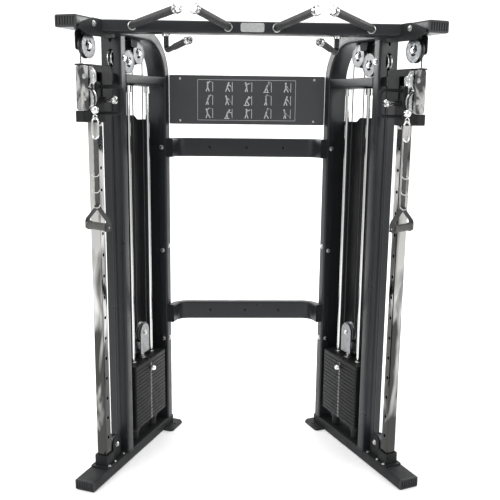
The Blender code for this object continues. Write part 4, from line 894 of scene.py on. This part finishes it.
    # cable end and handle
    end = {"node": "cable_stop", "body": "cable_end", "matrix": swivel}
    ball_profile = [(BALL_R * cos(radians(a)), BALL_R * sin(radians(a))) for a in range(-80, 81,
        8)]
    add("cable_ball", CHROME, turned([(0, -BALL_R), *ball_profile, (0, BALL_R)],
        (HANG_X, 0, BALL_Z), UP, 40), **end)
    eye_z, eye_r = HOOK_Z + 0.0029, 0.01
    eye = [(HANG_X, eye_r * cos(a), eye_z + eye_r * sin(a)) for a in (
        tau * i / 28 for i in range(28))]
    add("cable_eye", CHROME, [wire(eye, 0.0025, closed=True),
        rod((HANG_X, 0, eye_z + eye_r - 0.001), (HANG_X, 0, BALL_Z - 0.008), 0.0036)], **end)
    strap = {"node": "handle_strap", "body": "strap", "matrix": swivel}
    low_z = HOOK_Z - 0.086
    middle = (HOOK_Z + low_z) / 2

    def ring_of(z, half_w, half_h, corner, radius, steps):
        return wire([(HANG_X + u, 0, z + v) for u, v in rounded(-half_w, half_w, -half_h, half_h,
            corner, steps)], radius, closed=True)

    add("carabiner", CHROME, [ring_of(middle, LINK_HALF_W, HOOK_Z - middle, LINK_HALF_W - 0.0001,
        0.0038, 12), rod((HANG_X - LINK_HALF_W, 0, middle - 0.02),
        (HANG_X - LINK_HALF_W, 0, middle + 0.012), 0.0052, 24, 0.001)], slot="chrome", **strap)
    hinge = [Matrix.Translation((HANG_X, 0, z)) @ Matrix.Rotation(radians(-48), 4, "X")
        @ Matrix.Translation((-HANG_X, 0, -0.0065 - z)) for z in RING_HEIGHTS]
    add("strap_rings", STEEL, [placed(ring_of(z, 0.017, 0.0085, 0.008, 0.0024, 8), turn) for z,
        turn in zip(RING_HEIGHTS, hinge)], slot="steel", **strap)
    top, bottom = low_z + 0.002, RING_HEIGHTS[-1]
    wave = [(0.0007 * sin(i * 1.9), bottom + (top - bottom) * i / 24) for i in range(25)]
    add("strap_web", WEBBING, flat([ribbon(wave, 0.0034)], -0.0125, 0.0125,
        Matrix.Translation((HANG_X, 0, 0)) @ SIDE_PLANE), ease=0.0005, slot="webbing", **strap)
    legs = []
    for way in (-1, 1):
        foot_x = way * (GRIP_HALF + 0.0095)
        path = [(0, bottom + 0.004), (way * 0.004, bottom - 0.004), (way * 0.01, bottom - 0.014),
            (foot_x * 0.92, GRIP_Z + 0.03), (foot_x, GRIP_Z + 0.018), (foot_x, GRIP_Z - 0.014)]
        legs.append(flat([[(HANG_X + u, v) for u, v in ribbon(path, 0.004)]], -0.012, 0.012,
            FRONT_PLANE))
    add("strap_legs", WEBBING, legs, ease=0.0006, slot="webbing", **strap)
    foot = GRIP_HALF + 0.0115
    add("grip_rod", STEEL, [rod((HANG_X - foot, 0, GRIP_Z), (HANG_X + foot, 0, GRIP_Z), 0.0045, 24,
        0.001)], slot="steel", **strap)
    profile = [(0.0055, -GRIP_HALF), (GRIP_R + 0.003, -GRIP_HALF),
        (GRIP_R + 0.0035, -GRIP_HALF + 0.001), (GRIP_R + 0.0035, 0.006 - GRIP_HALF),
        (GRIP_R, 0.0085 - GRIP_HALF)]
    ribs = 15
    for i in range(ribs):
        h = -GRIP_HALF + 0.011 + i * (2 * GRIP_HALF - 0.022) / (ribs - 1)
        profile += [(GRIP_R, h - 0.0016), (GRIP_R - 0.001, h - 0.0008),
            (GRIP_R - 0.001, h + 0.0008), (GRIP_R, h + 0.0016)]
    profile += [(GRIP_R, GRIP_HALF - 0.0085), (GRIP_R + 0.0035, GRIP_HALF - 0.006),
        (GRIP_R + 0.0035, GRIP_HALF - 0.001), (GRIP_R + 0.003, GRIP_HALF), (0.0055, GRIP_HALF)]
    add("handle_grip", GRIP_RUBBER, turned(profile, (HANG_X, 0, GRIP_Z), (1, 0, 0), 40),
        "handle_grip", body="grip", matrix=swivel)


for tower_side in SIDES:
    tower(tower_side)


# ---------------------------------------------------------------- what joins the towers
def inner_face_x(y, off=0.0):
    """World x of the right tower's inner side, off metres clear of it, y behind the tips."""
    along = (y + (TUBE_W / 2 + off) * sin(TOE)) / cos(TOE)
    return TOWER_X - along * sin(TOE) - (TUBE_W / 2 + off) * cos(TOE)


def beam_tube():
    middle = BEAM_FRONT + TUBE_W / 2
    start = (Matrix.Translation((-0.75, middle, BOOM_Z)) @ Matrix.Rotation(radians(90), 4, "Y")
        @ Matrix.Rotation(radians(90), 4, "Z"))
    ends = [placed(box(-0.5, TUBE_W / 2 + 0.0066, -0.3, 0.6, BOOM_Z - TUBE_D, BOOM_Z + TUBE_D),
        stance) for stance in STANCE.values()]
    return without(walled(Sleeve(TUBE_W, TUBE_D, start).straight((1.5, 0, 0)).done()), *ends)


def handle(name, points, radius, cap_r, collar):
    """Pull-up handle: painted core, rubber sleeve, chrome cap and the ring at its root."""
    path = eased(points)
    tip = Vector(points[-1])
    way = (tip - Vector(points[-2])).normalized()
    share = {"replaces": ("top_beam",)}
    piece(f"{name}_core", POWDER, wire(path, radius - 0.0022, detail=6), **share)
    grip = [p for p in path if (p - path[0]).length > 0.034]
    if collar:
        grip = [tip - way * 0.165, tip]
    piece(f"{name}_sleeve", RUBBER, wire(grip, radius, detail=6), slot="rubber", **share)
    profile = [(0, -0.002), (cap_r - 0.0015, -0.002), (cap_r, -0.0005)]
    profile += [(cap_r - 0.0007 * (i % 2), 0.0005 + i * 0.0013) for i in range(11)]
    profile += [(cap_r - 0.0012, 0.0165), (cap_r - 0.005, 0.0203), (0, 0.021)]
    piece(f"{name}_cap", CAP_CHROME, turned(profile, tip, way, 40), slot="chrome", **share)
    root, first = Vector(points[0]), Vector(points[1])
    out = (first - root).normalized()
    if collar:
        ring = [(0, 0), (0.018, 0), (0.018, 0.0095), (0.0168, 0.011), (0, 0.011)]
        piece(f"{name}_collar", CHROME, turned(ring, root, out, 32), slot="chrome", **share)
    else:
        ring = [(radius + 0.003 * cos(a), 0.0028 + 0.003 * sin(a)) for a in (
            tau * i / 8 for i in range(8))]
        piece(f"{name}_weld", STEEL, turned(ring, root, out, 32), slot="steel", **share)


piece("beam_tube", POWDER, beam_tube(), replaces=("top_beam",))
for hand, way in (("left", -1), ("right", 1)):
    for where, root_x, tip_x in (("outer", 0.503, 0.303), ("inner", 0.103, 0.228)):
        handle(f"{hand}_{where}_handle", [(way * root_x, BEAM_FRONT + 0.001, BOOM_Z),
            (way * root_x, BEAM_FRONT - 0.022, BOOM_Z), (way * tip_x, -0.172, 2.08)], HANDLE_R,
            HANDLE_CAP_R, False)
    handle(f"{hand}_drop_handle", [(way * 0.366, 0.175, BOOM_Z - TUBE_D / 2),
        (way * 0.366, 0.175, 1.95), (way * 0.263, -0.086, 1.972)], J_R, J_CAP_R, True)
BADGE = (0.05, 0.0185)
piece("blank_badge", LIT_ALUMINIUM,
    flat([rounded(-BADGE[0], BADGE[0], BOOM_Z - BADGE[1], BOOM_Z + BADGE[1], 0.008)],
    -BEAM_FRONT - 0.0002, 0.0022 - BEAM_FRONT, FRONT_PLANE), replaces=("top_beam",), ease=0.0008)


def crossbar(height, holes):
    """Bar that leaves each tower along its inner side and bends into a straight run."""
    turn = pi / 2 - TOE
    offset = CROSSBAR_D / 2 + GAP
    bend_y = CROSSBAR_Y - CROSSBAR_BEND * (1 - cos(turn))
    bend_x = inner_face_x(bend_y, offset)
    lead = 0.036
    start_point = Vector((-bend_x - lead * sin(TOE), bend_y - lead * cos(TOE), height))
    facing = Matrix.Rotation(turn, 4, "Z") @ Matrix.Rotation(radians(90), 4, "Y")
    bar = Sleeve(CROSSBAR_H, CROSSBAR_D, Matrix.Translation(start_point) @ facing)
    bar.straight((lead * sin(TOE), lead * cos(TOE), 0))
    run_x = bend_x - CROSSBAR_BEND * sin(turn)
    bar.bend((-run_x, CROSSBAR_Y - CROSSBAR_BEND, 0), (0, 0, -1), turn, 14)
    bar.straight((2 * run_x, 0, 0))
    bar.bend((run_x, CROSSBAR_Y - CROSSBAR_BEND, 0), (0, 0, -1), turn, 14)
    bar.straight((lead * sin(TOE), -lead * cos(TOE), 0))
    front = CROSSBAR_Y - CROSSBAR_D / 2
    caps = []
    for hand in (Matrix.Identity(4), MIRROR):
        cap = flat([rounded(-CROSSBAR_H / 2 + 0.001, CROSSBAR_H / 2 - 0.001,
            -CROSSBAR_D / 2 + 0.001, CROSSBAR_D / 2 - 0.001, 0.007)], 0.001, 0.004)
        caps.append(placed(cap, hand @ Matrix.Translation(start_point) @ facing))
    bar_tube = without(walled(bar.done()),
        *(rod((x, front - 0.01, height), (x, front + 0.01, height), 0.0048) for x in holes))
    return bar_tube, caps


for bar_name, bar_z, bar_holes in (("lower", CROSSBAR_HEIGHTS[0], (-0.185, 0, 0.18)),
        ("upper", CROSSBAR_HEIGHTS[1], (-0.19, 0, 0.19))):
    bar_tube, bar_caps = crossbar(bar_z, bar_holes)
    piece(f"{bar_name}_crossbar_tube", POWDER, bar_tube, replaces=(f"{bar_name}_crossbar",),
        ease=0.0005)
    piece(f"{bar_name}_crossbar_caps", PLASTIC, bar_caps, replaces=(f"{bar_name}_crossbar",),
        ease=0.0008)


# ---------------------------------------------------------------- placard with plain figures
placard_half = inner_face_x(PLACARD_Y + 0.003) - 0.0008
piece("placard_plate", PLACARD,
    flat([rounded(-placard_half, placard_half, PLACARD_LOW, PLACARD_HIGH, 0.006)],
    -PLACARD_Y - 0.003, -PLACARD_Y, FRONT_PLANE), replaces=("placard",), ease=0.0007)


def figure(u, v, size, arm, leg, lean, bench):
    """Outlines of a plain exercising figure beside an upright post."""
    hip = (u, v - size * 0.05)
    neck = (u + size * 0.3 * sin(lean), v + size * 0.25 * cos(lean))
    head = (neck[0] + size * 0.13 * sin(lean), neck[1] + size * 0.13 * cos(lean))
    hand = (neck[0] + size * 0.32 * cos(arm), neck[1] + size * 0.32 * sin(arm))
    stroke = size * 0.045
    lines = [circle(*head, size * 0.085, 14), capsule(*hip, *neck, stroke * 1.5),
        capsule(neck[0], neck[1] - stroke, *hand, stroke), capsule(*hip, u + size * 0.16 * leg,
        v - size * 0.46, stroke), capsule(*hip, u - size * 0.14, v - size * 0.46, stroke),
        capsule(u + size * 0.52, v - size * 0.48, u + size * 0.52, v + size * 0.42, stroke * 0.55),
        capsule(*hand, u + size * 0.52, v + size * (0.4 if arm > 0 else -0.4), stroke * 0.25)]
    if bench:
        lines.append(capsule(u - size * 0.26, v - size * 0.52, u + size * 0.22, v - size * 0.52,
            stroke * 0.8))
    return lines


COLUMNS, ROWS = 5, 3
marks = []
for row in range(ROWS):
    for column in range(COLUMNS):
        turn = row * COLUMNS + column
        u = (column - (COLUMNS - 1) / 2) * 0.099 - 0.003
        v = 1.752 - (row - 1) * 0.066
        for outline in figure(u, v, 0.05, (0.9, -0.6, 0.25, 1.3, -1.0)[turn % 5],
                (1.0, 1.6, 0.4)[turn % 3], (0.0, 0.35, -0.25, 0.6)[turn % 4], turn % 4 == 3):
            marks.append(flat([outline], -PLACARD_Y - 0.0002, 0.0005 - PLACARD_Y, FRONT_PLANE))
piece("placard_figures", PRINT, marks, replaces=("placard",))
edge = [rounded(-0.252, 0.246, 1.65, 1.852, 0.004), rounded(-0.2505, 0.2445, 1.6515, 1.8505,
    0.003)]
piece("placard_border", PRINT, flat(edge, -PLACARD_Y - 0.0002, 0.0004 - PLACARD_Y, FRONT_PLANE),
    replaces=("placard",))
piece("placard_screws", STEEL,
    [part for x in (-0.34, 0.34) for z in (1.648, 1.855) for part in button((x, PLACARD_Y, z),
    (0, -1, 0), 0.006, 0.003)], replaces=("placard",), slot="steel")


# ---------------------------------------------------------------- studio
floor = surface("studio_floor", (0.92, 0.92, 0.92), 0.6, tint=0.012, tint_scale=1.5, bump=0.02,
    bump_scale=200)
glow = floor.node_tree.nodes["Principled BSDF"]
glow.inputs["Emission Color"].default_value = (1, 1, 1, 1)
glow.inputs["Emission Strength"].default_value = 0.16

sweep = bmesh.new()
profile = [(-9.0, 0.0), (4.0, 0.0), *arc(4.0, 3.0, 3.0, 270, 360, 16), (7.0, 9.0)]
rows = [(sweep.verts.new((-14, y, z - 0.0005)), sweep.verts.new((14, y, z - 0.0005))) for y,
    z in profile]
for (a, b), (c, d) in zip(rows, rows[1:]):
    sweep.faces.new((a, b, d, c))
backdrop = bpy.data.objects.new("studio_sweep", mesh_of("studio_sweep", sweep))
backdrop.data.shade_smooth()
backdrop.data.materials.append(floor)
bpy.context.scene.collection.objects.link(backdrop)


def area(name, place, target, size, power):
    light = bpy.data.lights.new(name, "AREA")
    light.shape = "RECTANGLE"
    light.size, light.size_y = size
    light.energy = power
    lamp = bpy.data.objects.new(name, light)
    lamp.location = place
    lamp.rotation_euler = (Vector(target) - Vector(place)).to_track_quat("-Z", "Y").to_euler()
    bpy.context.scene.collection.objects.link(lamp)


area("key_left", (-3.2, -2.6, 3.4), (0, 0, 1.1), (2.0, 2.4), 70)
area("key_right", (3.4, -2.2, 2.8), (0, 0, 1.0), (1.4, 2.4), 45)
area("top_light", (0, 0.2, 4.4), (0, 0, 0), (3.6, 2.6), 75)
area("rear_left", (-4.0, 3.0, 2.7), (0.4, 0, 2.0), (1.8, 1.3), 85)
area("rear_right", (4.0, 3.0, 2.7), (-0.4, 0, 2.0), (1.8, 1.3), 85)
area("back_light", (0, 3.0, 3.4), (0, 4.5, 0.8), (5.0, 1.6), 130)
world = bpy.data.worlds.new("studio")
bpy.context.scene.world = world
world.use_nodes = True
sky = world.node_tree.nodes["Background"]
sky.inputs["Color"].default_value = (1, 1, 1, 1)
sky.inputs["Strength"].default_value = 0.72
bpy.context.scene.view_settings.view_transform = "Standard"

EYE = Vector((-0.1229, -3.0568 - MID_Y, 1.716))
LENS, SENSOR = 52.34, 36.0
PAN, LOOK_DOWN, ROLL = (radians(angle) for angle in (-2.2227, 11.0925, 0.6789))
camera = bpy.data.objects.new("camera", bpy.data.cameras.new("camera"))
camera.data.lens, camera.data.sensor_width = LENS, SENSOR
camera.matrix_world = (Matrix.Translation(EYE) @ Matrix.Rotation(PAN, 4, "Z") @ Matrix.Rotation(
    pi / 2 - LOOK_DOWN, 4, "X") @ Matrix.Rotation(ROLL, 4, "Z"))
bpy.context.scene.collection.objects.link(camera)
bpy.context.scene.camera = camera
